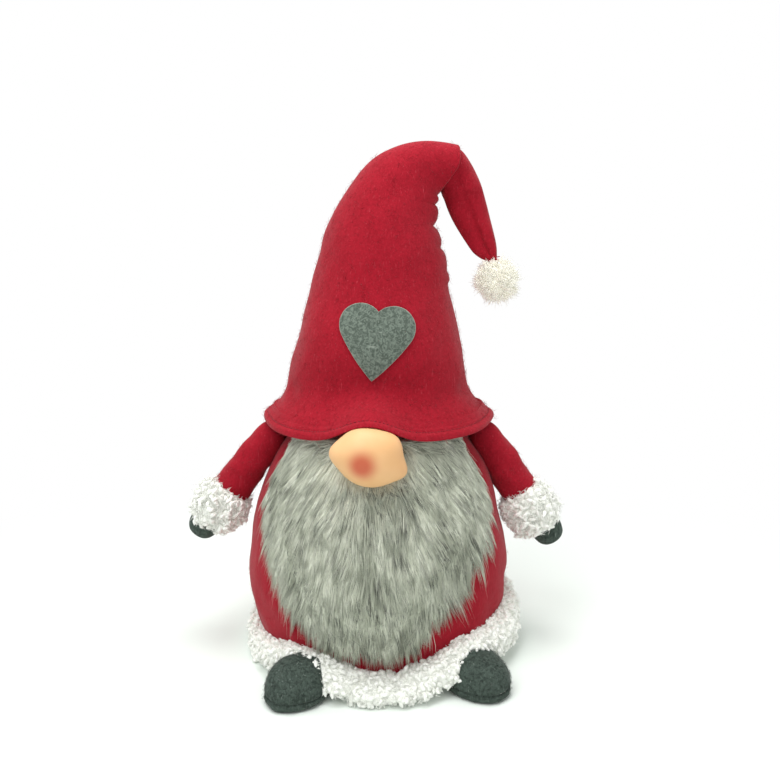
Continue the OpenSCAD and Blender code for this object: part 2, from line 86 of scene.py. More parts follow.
class Dyer:
    """Lays out the nodes of one material with short calls."""

    def __init__(self, name: str, roughness: float, sheen: float = 0.0,
                 specular: float = 0.25) -> None:
        """Starts a material with one shader.

        Args:
            name: The material's name.
            roughness: The shader's roughness.
            sheen: The weight of its soft nap.
            specular: The strength of its plain reflection.
        """
        self.material = bpy.data.materials.new(name)
        self.material.use_nodes = True
        self.nodes = self.material.node_tree.nodes
        self.links = self.material.node_tree.links
        self.nodes.clear()
        self.shader = self.nodes.new("ShaderNodeBsdfPrincipled")
        self.shader.inputs["Roughness"].default_value = roughness
        self.shader.inputs["Specular IOR Level"].default_value = specular
        self.shader.inputs["Sheen Weight"].default_value = sheen
        self.shader.inputs["Sheen Roughness"].default_value = 0.4
        output = self.nodes.new("ShaderNodeOutputMaterial")
        self.links.new(self.shader.outputs[0], output.inputs[0])
        self.place = self.nodes.new("ShaderNodeTexCoord").outputs["Object"]

    def mapped(self, scale: Colour, turn: Colour = (0, 0, 0),
               move: Colour = (0, 0, 0)) -> Socket:
        """Scales, turns and moves the pattern's coordinates.

        Args:
            scale: The scale along each axis.
            turn: The turn about each axis, in degrees.
            move: The move along each axis, in metres.

        Returns:
            The coordinates' socket.
        """
        node = self.nodes.new("ShaderNodeMapping")
        self.links.new(self.place, node.inputs["Vector"])
        node.inputs["Location"].default_value = move
        node.inputs["Rotation"].default_value = [math.radians(t) for t in turn]
        node.inputs["Scale"].default_value = scale
        return node.outputs[0]

    def noise(self, scale: float, detail: float = 3.0, place: Socket | None = None,
              warp: float = 0.0) -> Socket:
        """Adds a cloudy pattern.

        Args:
            scale: Clouds per metre.
            detail: The number of finer layers.
            place: Other coordinates to use.
            warp: How far the pattern is twisted.

        Returns:
            The pattern's socket, from 0 to 1.
        """
        node = self.nodes.new("ShaderNodeTexNoise")
        self.links.new(place or self.place, node.inputs["Vector"])
        node.inputs["Scale"].default_value = scale
        node.inputs["Detail"].default_value = detail
        node.inputs["Distortion"].default_value = warp
        return node.outputs["Fac"]

    def cells(self, scale: float, place: Socket | None = None) -> Socket:
        """Adds a pattern of cells.

        Args:
            scale: Cells per metre.
            place: Other coordinates to use.

        Returns:
            The distance to each cell's middle.
        """
        node = self.nodes.new("ShaderNodeTexVoronoi")
        self.links.new(place or self.place, node.inputs["Vector"])
        node.inputs["Scale"].default_value = scale
        return node.outputs["Distance"]

    def wave(self, scale: float, place: Socket | None = None, warp: float = 0.0) -> Socket:
        """Adds even bands.

        Args:
            scale: The bands' scale.
            place: Other coordinates to use.
            warp: How far the bands are bent.

        Returns:
            The bands' socket, from 0 to 1.
        """
        node = self.nodes.new("ShaderNodeTexWave")
        self.links.new(place or self.place, node.inputs["Vector"])
        node.inputs["Scale"].default_value = scale
        node.inputs["Distortion"].default_value = warp
        return node.outputs["Fac"]

    def distance(self, point: Vector) -> Socket:
        """Measures how far the surface is from a point, in metres.

        Args:
            point: The point to measure from.

        Returns:
            The distance's socket.
        """
        node = self.nodes.new("ShaderNodeVectorMath")
        node.operation = "DISTANCE"
        self.links.new(self.place, node.inputs[0])
        node.inputs[1].default_value = point
        return node.outputs["Value"]

    def attribute(self, name: str) -> Socket:
        """Reads a number that the mesh carries at each point.

        Args:
            name: The attribute's name.

        Returns:
            The number's socket.
        """
        node = self.nodes.new("ShaderNodeAttribute")
        node.attribute_name = name
        return node.outputs["Fac"]

    def window(self, value: Socket, low: float, high: float, bottom: float = 0.0,
               top: float = 1.0) -> Socket:
        """Maps a range smoothly.

        Args:
            value: The socket to map.
            low: The value that gives bottom.
            high: The value that gives top.
            bottom: The lowest result.
            top: The highest result.

        Returns:
            The mapped socket.
        """
        node = self.nodes.new("ShaderNodeMapRange")
        node.interpolation_type = "SMOOTHSTEP"
        self.links.new(value, node.inputs["Value"])
        for slot, number in zip(("From Min", "From Max", "To Min", "To Max"),
                                (low, high, bottom, top)):
            node.inputs[slot].default_value = number
        return node.outputs["Result"]

    def maths(self, operation: str, first: Socket, second: Socket | float) -> Socket:
        """Combines two values.

        Args:
            operation: The name of the sum to do.
            first: A socket.
            second: A socket or a number.

        Returns:
            The result's socket.
        """
        node = self.nodes.new("ShaderNodeMath")
        node.operation = operation
        self.links.new(first, node.inputs[0])
        self._set(node.inputs[1], second)
        return node.outputs[0]

    def mix(self, share: Socket, first: Socket | Colour, second: Socket | Colour) -> Socket:
        """Mixes two colours.

        Args:
            share: The socket that says how much of the second shows.
            first: A colour or a colour socket.
            second: A colour or a colour socket.

        Returns:
            The mixed colour's socket.
        """
        node = self.nodes.new("ShaderNodeMix")
        node.data_type = "RGBA"
        self.links.new(share, node.inputs[0])
        self._set(node.inputs[6], first)
        self._set(node.inputs[7], second)
        return node.outputs[2]

    def _set(self, slot: Socket, value: Socket | Colour | float) -> None:
        """Gives a socket a link, a colour or a number.

        Args:
            slot: The socket to set.
            value: The link, colour or number.
        """
        if isinstance(value, bpy.types.NodeSocket):
            self.links.new(value, slot)
        elif isinstance(value, tuple):
            slot.default_value = (*value, 1.0)
        else:
            slot.default_value = value

    def paint_glow(self, share: float) -> None:
        """Paints a faint glow into the surface, standing in for the light that fine white fibres pass
        on to one another.
        """
        self.shader.inputs["Emission Color"].default_value = (1.0, 1.0, 0.97, 1.0)
        self.shader.inputs["Emission Strength"].default_value = share

    def finish(self, colour: Socket, height: Socket | None = None, depth: float = 0.3 * MM,
               strength: float = 1.0) -> bpy.types.Material:
        """Gives the shader its colour and relief.

        Args:
            colour: The colour's socket.
            height: The relief's socket.
            depth: The relief's depth in metres.
            strength: The relief's strength.

        Returns:
            The finished material.
        """
        self.links.new(colour, self.shader.inputs["Base Color"])
        if height is not None:
            bump = self.nodes.new("ShaderNodeBump")
            bump.inputs["Distance"].default_value = depth
            bump.inputs["Strength"].default_value = strength
            self.links.new(height, bump.inputs["Height"])
            self.links.new(bump.outputs[0], self.shader.inputs["Normal"])
        return self.material


@dataclass(frozen=True)
class Felt:
    """Pressed wool felt: matted fibres, soft clouds of tone and a nap."""

    name: str
    base: Colour
    shade: Colour
    fibre: Colour
    fibre_share: float
    mottle: float = 0.5
    cloud_size: float = 26 * MM

    def material(self) -> bpy.types.Material:
        """Mixes clouds, grain and long crossing fibres."""
        dye = Dyer(self.name, roughness=0.95, sheen=0.12, specular=0.1)
        cloud = dye.noise(1 / self.cloud_size, 3)
        grain = dye.noise(420, 5, warp=0.6)
        tone = dye.maths("ADD", dye.maths("MULTIPLY", cloud, 1 - self.mottle),
                         dye.maths("MULTIPLY", grain, self.mottle))
        colour = dye.mix(dye.window(tone, 0.34, 0.62), self.shade, self.base)
        strokes = None
        for turn in ((0, 35, 20), (0, -50, -15), (0, 80, 40), (70, 10, 0)):
            stroke = dye.noise(900, 2, dye.mapped((1.0, 0.9, 0.09), turn), 0.8)
            strokes = stroke if strokes is None else dye.maths("MAXIMUM", strokes, stroke)
        lines = dye.window(strokes, 0.66, 0.8)
        colour = dye.mix(dye.maths("MULTIPLY", lines, self.fibre_share), colour, self.fibre)
        height = dye.maths("ADD", dye.maths("MULTIPLY", strokes, 0.8), grain)
        return dye.finish(colour, height, 0.5 * MM, 0.7)


@dataclass(frozen=True)
class Sherpa:
    """Curled fleece: near white, with painted shade a little darker down between its tufts."""

    name: str = "sherpa_fleece"
    light: Colour = (0.96, 0.97, 0.925)
    dark: Colour = (0.83, 0.85, 0.78)

    def material(self) -> bpy.types.Material:
        """Paints shade on each tuft, darkest at its root and lightest at its tip."""
        dye = Dyer(self.name, roughness=0.9, sheen=0.15, specular=0.1)
        # Painted shade: the dark colour goes at the tufts' roots and in the roll's low gaps, where
        # shade falls.
        root = dye.window(dye.attribute("along"), 0.0, 0.75)
        patch = dye.noise(60, 2)
        share = dye.maths("MULTIPLY", root, dye.window(patch, 0.2, 0.6, 0.72, 1.0))
        colour = dye.mix(share, self.dark, self.light)
        height = dye.maths("ADD", dye.noise(700, 4, warp=1.0), dye.noise(240, 3))
        # Painted glow: a faint emission brightens the fleece as though lit through its fibres.
        dye.paint_glow(0.055)
        return dye.finish(colour, height, 0.8 * MM, 0.4)


@dataclass(frozen=True)
class Hair:
    """Faux fur for the beard: pale grey hairs with dark stretches and paler tips."""

    name: str = "beard_fur"
    pale: Colour = (0.95, 0.98, 0.85)
    middle: Colour = (0.58, 0.615, 0.50)
    dark: Colour = (0.020, 0.021, 0.018)

    def material(self) -> bpy.types.Material:
        """Colours hairs by the tone and the dark stretch that each one carries."""
        dye = Dyer(self.name, roughness=0.6, specular=0.25)
        tone = dye.attribute("tone")
        root = dye.window(dye.attribute("along"), 0.0, 0.45, 0.35, 1.0)
        cloud = dye.noise(38, 3, dye.mapped((1, 1, 0.45)), 0.6)
        share = dye.maths("MULTIPLY", dye.maths("MULTIPLY", tone, root),
                          dye.window(cloud, 0.36, 0.58, 0.25, 1.15))
        colour = dye.mix(share, self.middle, self.pale)
        patch = dye.window(cloud, 0.40, 0.62, 1.0, 0.5)
        streak = dye.maths("MULTIPLY", dye.attribute("streak"), patch)
        return dye.finish(dye.mix(streak, colour, self.dark))


@dataclass(frozen=True)
class Undercoat:
    """The dense fur under the long hairs, in fine strokes down the pile; its dark strokes are partly
    the fur's own colour and partly painted shade for the gaps between the locks.
    """

    name: str = "beard_undercoat"
    pale: Colour = (0.62, 0.66, 0.55)
    dark: Colour = (0.16, 0.17, 0.14)

    def material(self) -> bpy.types.Material:
        """Draws fine strokes that run down the beard."""
        dye = Dyer(self.name, roughness=0.85, specular=0.1)
        stroke = dye.noise(700, 3, dye.mapped((1, 1, 0.08)), 0.5)
        # Dark strokes: partly the fur's own colour, partly painted shade down between the locks.
        colour = dye.mix(dye.window(stroke, 0.35, 0.65), self.dark, self.pale)
        return dye.finish(colour, stroke, 1.0 * MM)


@dataclass(frozen=True)
class NoseJersey:
    """Fine stretched jersey in peach, airbrushed with a soft blush."""

    blush_at: Vector
    name: str = "nose_jersey"
    skin: Colour = (0.80, 0.455, 0.20)
    glow: Colour = (0.86, 0.52, 0.25)
    blush: Colour = (0.56, 0.085, 0.040)
    blush_radius: float = 19 * MM

    def material(self) -> bpy.types.Material:
        """Fades the blush outwards and adds a very fine knit."""
        dye = Dyer(self.name, roughness=0.5, sheen=0.05, specular=0.35)
        cloud = dye.noise(30, 2)
        skin = dye.mix(dye.window(cloud, 0.3, 0.7), self.skin, self.glow)
        away = dye.distance(self.blush_at)
        share = dye.window(away, 3.5 * MM, self.blush_radius, 0.92, 0.0)
        share = dye.maths("POWER", share, 1.5)
        colour = dye.mix(share, skin, self.blush)
        knit = dye.wave(420, dye.mapped((1, 0.2, 1), (0, 45, 0)), 1.5)
        height = dye.maths("ADD", dye.maths("MULTIPLY", knit, 0.3), dye.noise(500, 2))
        return dye.finish(colour, height, 0.06 * MM, 0.5)


@dataclass(frozen=True)
class Fluff:
    """Loose pompom fibre: cream white, with painted grey-green shade in its depths."""

    name: str = "pompom_fluff"
    light: Colour = (0.98, 0.965, 0.87)
    dark: Colour = (0.93, 0.91, 0.80)

    def material(self) -> bpy.types.Material:
        """Paints shade on the fibres, darker towards the ball's middle."""
        dye = Dyer(self.name, roughness=0.9, sheen=0.1, specular=0.1)
        # Painted shade: the fibres darken towards their roots, in the ball's depths.
        share = dye.window(dye.attribute("along"), 0.0, 0.8)
        colour = dye.mix(share, self.dark, self.light)
        # Painted glow: a faint emission brightens the fluff as though lit through its fibres.
        dye.paint_glow(0.13)
        return dye.finish(colour, dye.noise(500, 3), 0.6 * MM, 0.4)


@dataclass(frozen=True)
class Thread:
    """Twisted sewing thread."""

    name: str
    light: Colour
    dark: Colour
    twist: float = 520.0

    def material(self) -> bpy.types.Material:
        """Winds dark twist lines round the thread."""
        dye = Dyer(self.name, roughness=0.7, sheen=0.1, specular=0.3)
        twist = dye.wave(self.twist, dye.mapped((1, 1, 1), (0, 40, 35)), 0.6)
        colour = dye.mix(twist, self.dark, self.light)
        return dye.finish(colour, twist, 0.2 * MM)


@dataclass(frozen=True)
class Filling:
    """Polyester fibre filling: soft white strands, with painted shade in its small hollows."""

    name: str = "fibre_filling"
    light: Colour = (0.94, 0.93, 0.90)
    dark: Colour = (0.76, 0.75, 0.72)

    def material(self) -> bpy.types.Material:
        """Crosses soft strands over small hollows, with painted shade darkening the hollows."""
        dye = Dyer(self.name, roughness=0.9, sheen=0.2, specular=0.1)
        strand = dye.noise(260, 4, dye.mapped((1, 1, 0.3), (20, 30, 0)), 1.5)
        # Painted shade: the colour darkens where the strands dip into hollows.
        colour = dye.mix(dye.window(strand, 0.3, 0.7), self.dark, self.light)
        return dye.finish(colour, strand, 1.5 * MM)


@dataclass(frozen=True)
class Weave:
    """Plain woven or knitted cloth with two crossing sets of threads."""

    name: str
    light: Colour
    dark: Colour
    pitch: float

    def material(self) -> bpy.types.Material:
        """Crosses two sets of threads."""
        dye = Dyer(self.name, roughness=0.9, sheen=0.1, specular=0.15)
        scale = 0.31 / self.pitch
        over = dye.wave(scale, dye.mapped((1, 1, 1), (0, 45, 0)), 0.3)
        under = dye.wave(scale, dye.mapped((1, 1, 1), (0, -45, 90)), 0.3)
        threads = dye.maths("MAXIMUM", over, under)
        fade = dye.maths("MULTIPLY", threads, dye.window(dye.noise(80, 3), 0.2, 0.8, 0.7, 1.0))
        return dye.finish(dye.mix(fade, self.dark, self.light), threads, 0.3 * MM)


@dataclass(frozen=True)
class Card:
    """Grey-brown pressed card with fine flecks."""

    name: str = "pressed_card"
    light: Colour = (0.52, 0.40, 0.27)
    dark: Colour = (0.30, 0.22, 0.14)

    def material(self) -> bpy.types.Material:
        """Scatters flecks and pulp strokes."""
        dye = Dyer(self.name, roughness=0.85, specular=0.2)
        pulp = dye.noise(300, 4, dye.mapped((1, 0.3, 1)), 0.5)
        colour = dye.mix(dye.window(pulp, 0.3, 0.7), self.dark, self.light)
        return dye.finish(colour, pulp, 0.2 * MM)


@dataclass(frozen=True)
class Grain:
    """Rounded ballast grains, packed together."""

    name: str = "ballast_grain"
    light: Colour = (0.62, 0.58, 0.50)
    dark: Colour = (0.20, 0.18, 0.15)

    def material(self) -> bpy.types.Material:
        """Packs round cells of about 3 mm, with painted shade darkening each cell towards its edge,
        between the grains.
        """
        dye = Dyer(self.name, roughness=0.5, specular=0.4)
        cell = dye.cells(330)
        # Painted shade: each grain darkens towards its edge, where neighbouring grains shade it.
        colour = dye.mix(dye.window(cell, 0.2, 0.7), self.light, self.dark)
        return dye.finish(colour, dye.window(cell, 0.0, 0.8, 1.0, 0.0), 1.2 * MM)


@dataclass(frozen=True)
class CutEdgeFelt:
    """Grey craft felt, mottled, with a pale cut edge."""

    name: str = "heart_felt"
    base: Colour = (0.185, 0.228, 0.188)
    shade: Colour = (0.085, 0.108, 0.088)
    pale: Colour = (0.36, 0.41, 0.35)

    def material(self) -> bpy.types.Material:
        """Mottles the felt and lightens it towards its cut edge."""
        dye = Dyer(self.name, roughness=0.95, sheen=0.12, specular=0.1)
        blotch = dye.noise(330, 5, warp=1.4)
        colour = dye.mix(dye.window(blotch, 0.36, 0.66), self.shade, self.base)
        fibre = dye.noise(800, 2, dye.mapped((1, 1, 0.1), (0, 40, 0)), 1.2)
        other = dye.noise(800, 2, dye.mapped((0.1, 1, 1), (0, 15, 0)), 1.2)
        lines = dye.window(dye.maths("MAXIMUM", fibre, other), 0.62, 0.78, 0.0, 0.6)
        colour = dye.mix(lines, colour, self.pale)
        edge = dye.window(dye.attribute("edge"), 0.25, 0.95, 0.0, 0.85)
        colour = dye.mix(edge, colour, self.pale)
        height = dye.maths("ADD", blotch, fibre)
        return dye.finish(colour, height, 0.5 * MM, 0.8)


@dataclass(frozen=True)
class Floor:
    """A plain pale floor with the faintest cloudiness."""

    name: str = "pale_floor"
    light: Colour = (0.86, 0.915, 0.87)
    dark: Colour = (0.84, 0.895, 0.85)

    def material(self) -> bpy.types.Material:
        """Varies the floor's tone a little and fades it into the white surround."""
        dye = Dyer(self.name, roughness=0.8, specular=0.0)
        fade = dye.window(dye.distance(Vector((0, 0, 0))), 0.20, 0.62)
        near = dye.mix(dye.noise(3, 2), self.dark, self.light)
        dye.shader.inputs["Emission Color"].default_value = (1.0, 1.0, 1.0, 1.0)
        dye.links.new(fade, dye.shader.inputs["Emission Strength"])
        return dye.finish(dye.mix(fade, near, (0.0, 0.0, 0.0)))


RED_FELT = Felt("red_felt", (0.365, 0.0105, 0.0235), (0.30, 0.0085, 0.0185),
                (0.58, 0.075, 0.098), 0.6, mottle=0.72, cloud_size=15 * MM)
CHARCOAL_FELT = Felt("charcoal_felt", (0.074, 0.100, 0.084), (0.034, 0.047, 0.039),
                     (0.24, 0.285, 0.255), 0.85, mottle=0.85, cloud_size=9 * MM)
RED_THREAD = Thread("red_thread", (0.34, 0.010, 0.024), (0.20, 0.006, 0.013))
TIE_THREAD = Thread("tie_thread", (0.72, 0.03, 0.05), (0.40, 0.015, 0.03))
COTTON = Weave("ballast_cotton", (0.80, 0.74, 0.62), (0.56, 0.50, 0.40), 0.7 * MM)
SHERPA = Sherpa()
HAIR = Hair()
FILLING = Filling()
class Finish(Protocol):
    """What a piece can be dressed in."""

    name: str

    def material(self) -> bpy.types.Material:
        """Makes the finish's material."""


_dyed: dict[str, bpy.types.Material] = {}


def dyed(finish: Finish) -> bpy.types.Material:
    """Gives a finish's material, made once."""
    if finish.name not in _dyed:
        _dyed[finish.name] = finish.material()
    return _dyed[finish.name]


# ---- the workbench ---------------------------------------------------------------


def start(operator: Callable, name: str, **settings) -> bpy.types.Object:
    """Adds a primitive with nothing else selected.

    Args:
        operator: The primitive's operator.
        name: The new piece's name.
        **settings: The operator's own settings.

    Returns:
        The new object.
    """
    bpy.ops.object.select_all(action="DESELECT")
    operator(**settings)
    piece = bpy.context.object
    piece.name = name
    piece.data.name = name
    return piece


def pick(piece: bpy.types.Object) -> None:
    """Makes a piece the only selected one.

    Args:
        piece: The piece to select.
    """
    bpy.ops.object.select_all(action="DESELECT")
    piece.select_set(True)
    bpy.context.view_layer.objects.active = piece


def shape(piece: bpy.types.Object, move: Mover) -> None:
    """Moves a piece's points.

    Args:
        piece: The piece to shape.
        move: Takes its points in millimetres and gives them back moved.
    """
    count = len(piece.data.vertices)
    flat = np.empty(count * 3)
    piece.data.vertices.foreach_get("co", flat)
    moved = move(flat.reshape(count, 3) / MM) * MM
    piece.data.vertices.foreach_set("co", np.ascontiguousarray(moved).ravel())
    piece.data.update()


def corners(piece: bpy.types.Object) -> Points:
    """Gives a piece's points in metres.

    Args:
        piece: The piece to read.

    Returns:
        The points, a row each.
    """
    flat = np.empty(len(piece.data.vertices) * 3)
    piece.data.vertices.foreach_get("co", flat)
    return flat.reshape(-1, 3)


def normals(piece: bpy.types.Object) -> Points:
    """Gives the outward direction at each of a piece's points.

    Args:
        piece: The piece to read.

    Returns:
        The directions, a row each.
    """
    flat = np.empty(len(piece.data.vertices) * 3)
    piece.data.vertex_normals.foreach_get("vector", flat)
    return flat.reshape(-1, 3)


def apply(piece: bpy.types.Object, kind: str, **settings) -> None:
    """Adds a modifier to a piece and applies it.

    Args:
        piece: The piece to change.
        kind: The modifier's type.
        **settings: The modifier's own settings.
    """
    pick(piece)
    modifier = piece.modifiers.new(kind.lower(), kind)
    for key, value in settings.items():
        setattr(modifier, key, value)
    bpy.ops.object.modifier_apply(modifier=modifier.name)


def subdivide(piece: bpy.types.Object, levels: int = 1) -> None:
    """Smooths a piece by subdivision."""
    apply(piece, "SUBSURF", levels=levels, render_levels=levels)


def smooth_shading(piece: bpy.types.Object, angle: float = 50.0) -> None:
    """Shades a piece smoothly, up to an edge angle in degrees."""
    pick(piece)
    bpy.ops.object.shade_smooth_by_angle(angle=math.radians(angle))


def mark(piece: bpy.types.Object, name: str, values: Points) -> None:
    """Stores a number at each of a piece's points, for its material."""
    layer = piece.data.attributes.new(name, "FLOAT", "POINT")
    layer.data.foreach_set("value", np.ascontiguousarray(values, dtype=np.float32))


def dress(piece: bpy.types.Object, finish: Finish, body: str | None = None,
          nodes: Sequence[str] = ()) -> None:
    """Gives a piece its finish, its body and the nodes that it stands for.

    Args:
        piece: The piece to dress.
        finish: The finish that it shows.
        body: The body that it rides on, or None where it is blended.
        nodes: The frame's nodes that it replaces.
    """
    piece.data.materials.clear()
    piece.data.materials.append(dyed(finish))
    if body:
        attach(piece, body)
    if nodes:
        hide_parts(*nodes)
    LOG.info("%s: %d faces, %s", piece.name, len(piece.data.polygons), finish.name)


def carried(node: str, finish: Finish) -> None:
    """Gives a frame node that stays as it is its finish.

    Args:
        node: The frame node's name.
        finish: The finish that it shows.
    """
    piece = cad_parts[node]
    if piece.material_slots:
        piece.material_slots[0].material = dyed(finish)
    else:
        piece.data.materials.append(dyed(finish))
    LOG.info("%s: kept, %s", node, finish.name)


def copy_of(node: str, name: str, voxel: float) -> bpy.types.Object:
    """Copies a frame node into a new, even, closed mesh.

    Args:
        node: The node to copy.
        name: The new piece's name.
        voxel: The size of the new mesh's squares in metres.

    Returns:
        The new piece.
    """
    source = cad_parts[node]
    piece = bpy.data.objects.new(name, source.data.copy())
    bpy.context.scene.collection.objects.link(piece)
    pick(piece)
    bpy.ops.object.mode_set(mode="EDIT")
    bpy.ops.mesh.select_all(action="SELECT")
    bpy.ops.mesh.remove_doubles(threshold=0.00001)
    bpy.ops.object.mode_set(mode="OBJECT")
    apply(piece, "REMESH", mode="VOXEL", voxel_size=voxel)
    return piece


def relax(piece: bpy.types.Object, rounds: int = 6, factor: float = 0.5) -> None:
    """Evens out a remeshed piece's steps."""
    apply(piece, "SMOOTH", iterations=rounds, factor=factor)


def ripple(points: Points, size: float, seed: int, waves: int = 7) -> Points:
    """Gives a soft uneven height at each point.

    Args:
        points: The points in millimetres.
        size: The distance between rises in millimetres.
        seed: Chooses the pattern.
        waves: The number of waves that are added up.

    Returns:
        One height for each point, mostly from -1 to 1.
    """
    rng = np.random.default_rng(seed)
    total = np.zeros(len(points))
    for _ in range(waves):
        way = rng.normal(size=3)
        way *= rng.uniform(0.7, 1.4) * 2 * math.pi / size / np.linalg.norm(way)
        total += np.sin(points @ way + rng.uniform(0, 2 * math.pi))
    return total / math.sqrt(waves / 2) / 1.4


def hump(value: Points | float, middle: float, spread: float) -> Points:
    """A smooth hump of height 1 round a middle value."""
    return np.exp(-((value - middle) / spread) ** 2)


def turned(angle: Points, middle: float) -> Points:
    """The difference between angles in degrees, from -180 to 180."""
    return (angle - middle + 180) % 360 - 180


def unit(vectors: Points) -> Points:
    """Gives each vector a length of 1."""
    return vectors / np.maximum(np.linalg.norm(vectors, axis=-1, keepdims=True), 1e-9)


@dataclass(frozen=True)
class Ring:
    """One cross-section of a tube, in millimetres, tilted from level towards +X."""

    x: float
    z: float
    wide: float
    deep: float
    tilt: float = 0.0

    @property
    def centre(self) -> Vector:
        """The ring's middle in metres."""
        return Vector((self.x, 0, self.z)) * MM

    def numbers(self) -> Points:
        """The ring's five numbers, for blending."""
        return np.array([self.x, self.z, self.wide, self.deep, self.tilt])


def between(rings: Sequence[Ring], steps: int) -> list[Ring]:
    """Adds rings on a smooth curve between the given ones.

    Args:
        rings: The rings that the curve passes through.
        steps: How many pieces each span is cut into.

    Returns:
        The longer list of rings.
    """
    knots = np.array([ring.numbers() for ring in rings])
    ends = np.vstack([2 * knots[0] - knots[1], knots, 2 * knots[-1] - knots[-2]])
    made = []
    for before, low, high, after in zip(ends, ends[1:], ends[2:], ends[3:]):
        for step in range(steps):
            t = step / steps
            bend = (2 * low + (high - before) * t + (2 * before - 5 * low + 4 * high - after) * t
                    ** 2 + (3 * low - before - 3 * high + after) * t ** 3) / 2
            made.append(Ring(*bend))
    return [*made, rings[-1]]


def loft(name: str, rings: Sequence[Ring], sides: int, close_first: bool = False,
         close_last: bool = False) -> bpy.types.Object:
    """Draws a tube: one circle, then extruded, scaled and turned ring by ring.

    Args:
        name: The new piece's name.
        rings: The tube's rings in order.
        sides: The number of points in a ring.
        close_first: Whether the first ring closes to a point.
        close_last: Whether the last ring closes to a point.

    Returns:
        The new piece.
    """
    piece = start(bpy.ops.mesh.primitive_circle_add, name, vertices=sides, radius=1,
                  fill_type="NOTHING")
    bpy.ops.object.mode_set(mode="EDIT")
    bpy.ops.mesh.select_all(action="SELECT")
    last = Ring(0, 0, 1 / MM, 1 / MM)
    for index, ring in enumerate(rings):
        move = ring.centre - last.centre
        if index:
            bpy.ops.mesh.extrude_region_move(TRANSFORM_OT_translate={"value": move})
        else:
            bpy.ops.transform.translate(value=move)
        grow, thicken = ring.wide / last.wide, ring.deep / last.deep
        bpy.ops.transform.resize(value=(grow, thicken, grow), center_override=ring.centre)
        lean = math.radians(last.tilt - ring.tilt)
        if abs(lean) > 1e-6:
            bpy.ops.transform.rotate(value=lean, orient_axis="Y", center_override=ring.centre)
        last = ring
    if close_last:
        bpy.ops.mesh.merge(type="CENTER")
    if close_first:
        bpy.ops.object.mode_set(mode="OBJECT")
        for vertex in piece.data.vertices:
            vertex.select = vertex.index < sides
        bpy.ops.object.mode_set(mode="EDIT")
        bpy.ops.mesh.select_mode(type="VERT")
        bpy.ops.mesh.merge(type="CENTER")
    bpy.ops.mesh.select_all(action="SELECT")
    bpy.ops.mesh.normals_make_consistent(inside=False)
    bpy.ops.object.mode_set(mode="OBJECT")
    return piece


class Surface:
    """Finished meshes that hairs, stitches and patches are set on."""

    def __init__(self, *pieces: bpy.types.Object) -> None:
        """Reads the pieces' triangles."""
        points, faces, shift = [], [], 0
        for piece in pieces:
            piece.data.calc_loop_triangles()
            flat = np.empty(len(piece.data.loop_triangles) * 3, dtype=np.int32)
            piece.data.loop_triangles.foreach_get("vertices", flat)
            points.append(corners(piece))
            faces.append(flat.reshape(-1, 3) + shift)
            shift += len(points[-1])
        self.points, self.faces = np.vstack(points), np.vstack(faces)
        a, b, c = (self.points[self.faces[:, k]] for k in range(3))
        across = np.cross(b - a, c - a)
        self.areas = np.linalg.norm(across, axis=1) / 2
        self.normals = unit(across)
        self.tree = BVHTree.FromPolygons(self.points.tolist(), self.faces.tolist())

    def scatter(self, count: int, rng: np.random.Generator,
                keep: Callable[[Points, Points], Points]) -> tuple[Points, Points]:
        """Picks points spread evenly over the surface.

        Args:
            count: How many points to pick.
            rng: The source of chance.
            keep: Takes points in millimetres and their normals, and gives each
                point's chance of staying.

        Returns:
            The points in metres and their normals.
        """
        spots, ways, found = [], [], 0
        share = np.cumsum(self.areas) / self.areas.sum()
        for _ in range(40):
            pick_face = np.searchsorted(share, rng.random(count * 2)).clip(0, len(share) - 1)
            u, v = rng.random((2, count * 2))
            over = u + v > 1
            u[over], v[over] = 1 - u[over], 1 - v[over]
            a, b, c = (self.points[self.faces[pick_face, k]] for k in range(3))
            spot = a + (b - a) * u[:, None] + (c - a) * v[:, None]
            way = self.normals[pick_face]
            stay = rng.random(len(spot)) < keep(spot / MM, way)
            spots.append(spot[stay])
            ways.append(way[stay])
            found += int(stay.sum())
            if found >= count:
                break
        return np.vstack(spots)[:count], np.vstack(ways)[:count]

    def under(self, points: Points, reach: float = 260 * MM) -> Points:
        """Finds the surface between each point's far side and the upright axis.

        Args:
            points: The points in metres.
            reach: How far out to look from.

        Returns:
            The surface's distance from the axis at each point's height and angle.
        """
        found = np.linalg.norm(points[:, :2], axis=1)
        outward = unit(points * (1, 1, 0))
        for index, (point, way) in enumerate(zip(points, outward)):
            origin = Vector((way[0] * reach, way[1] * reach, point[2]))
            hit = self.tree.ray_cast(origin, Vector(-way), reach)
            if hit[0] is not None:
                found[index] = math.hypot(hit[0].x, hit[0].y)
        return found


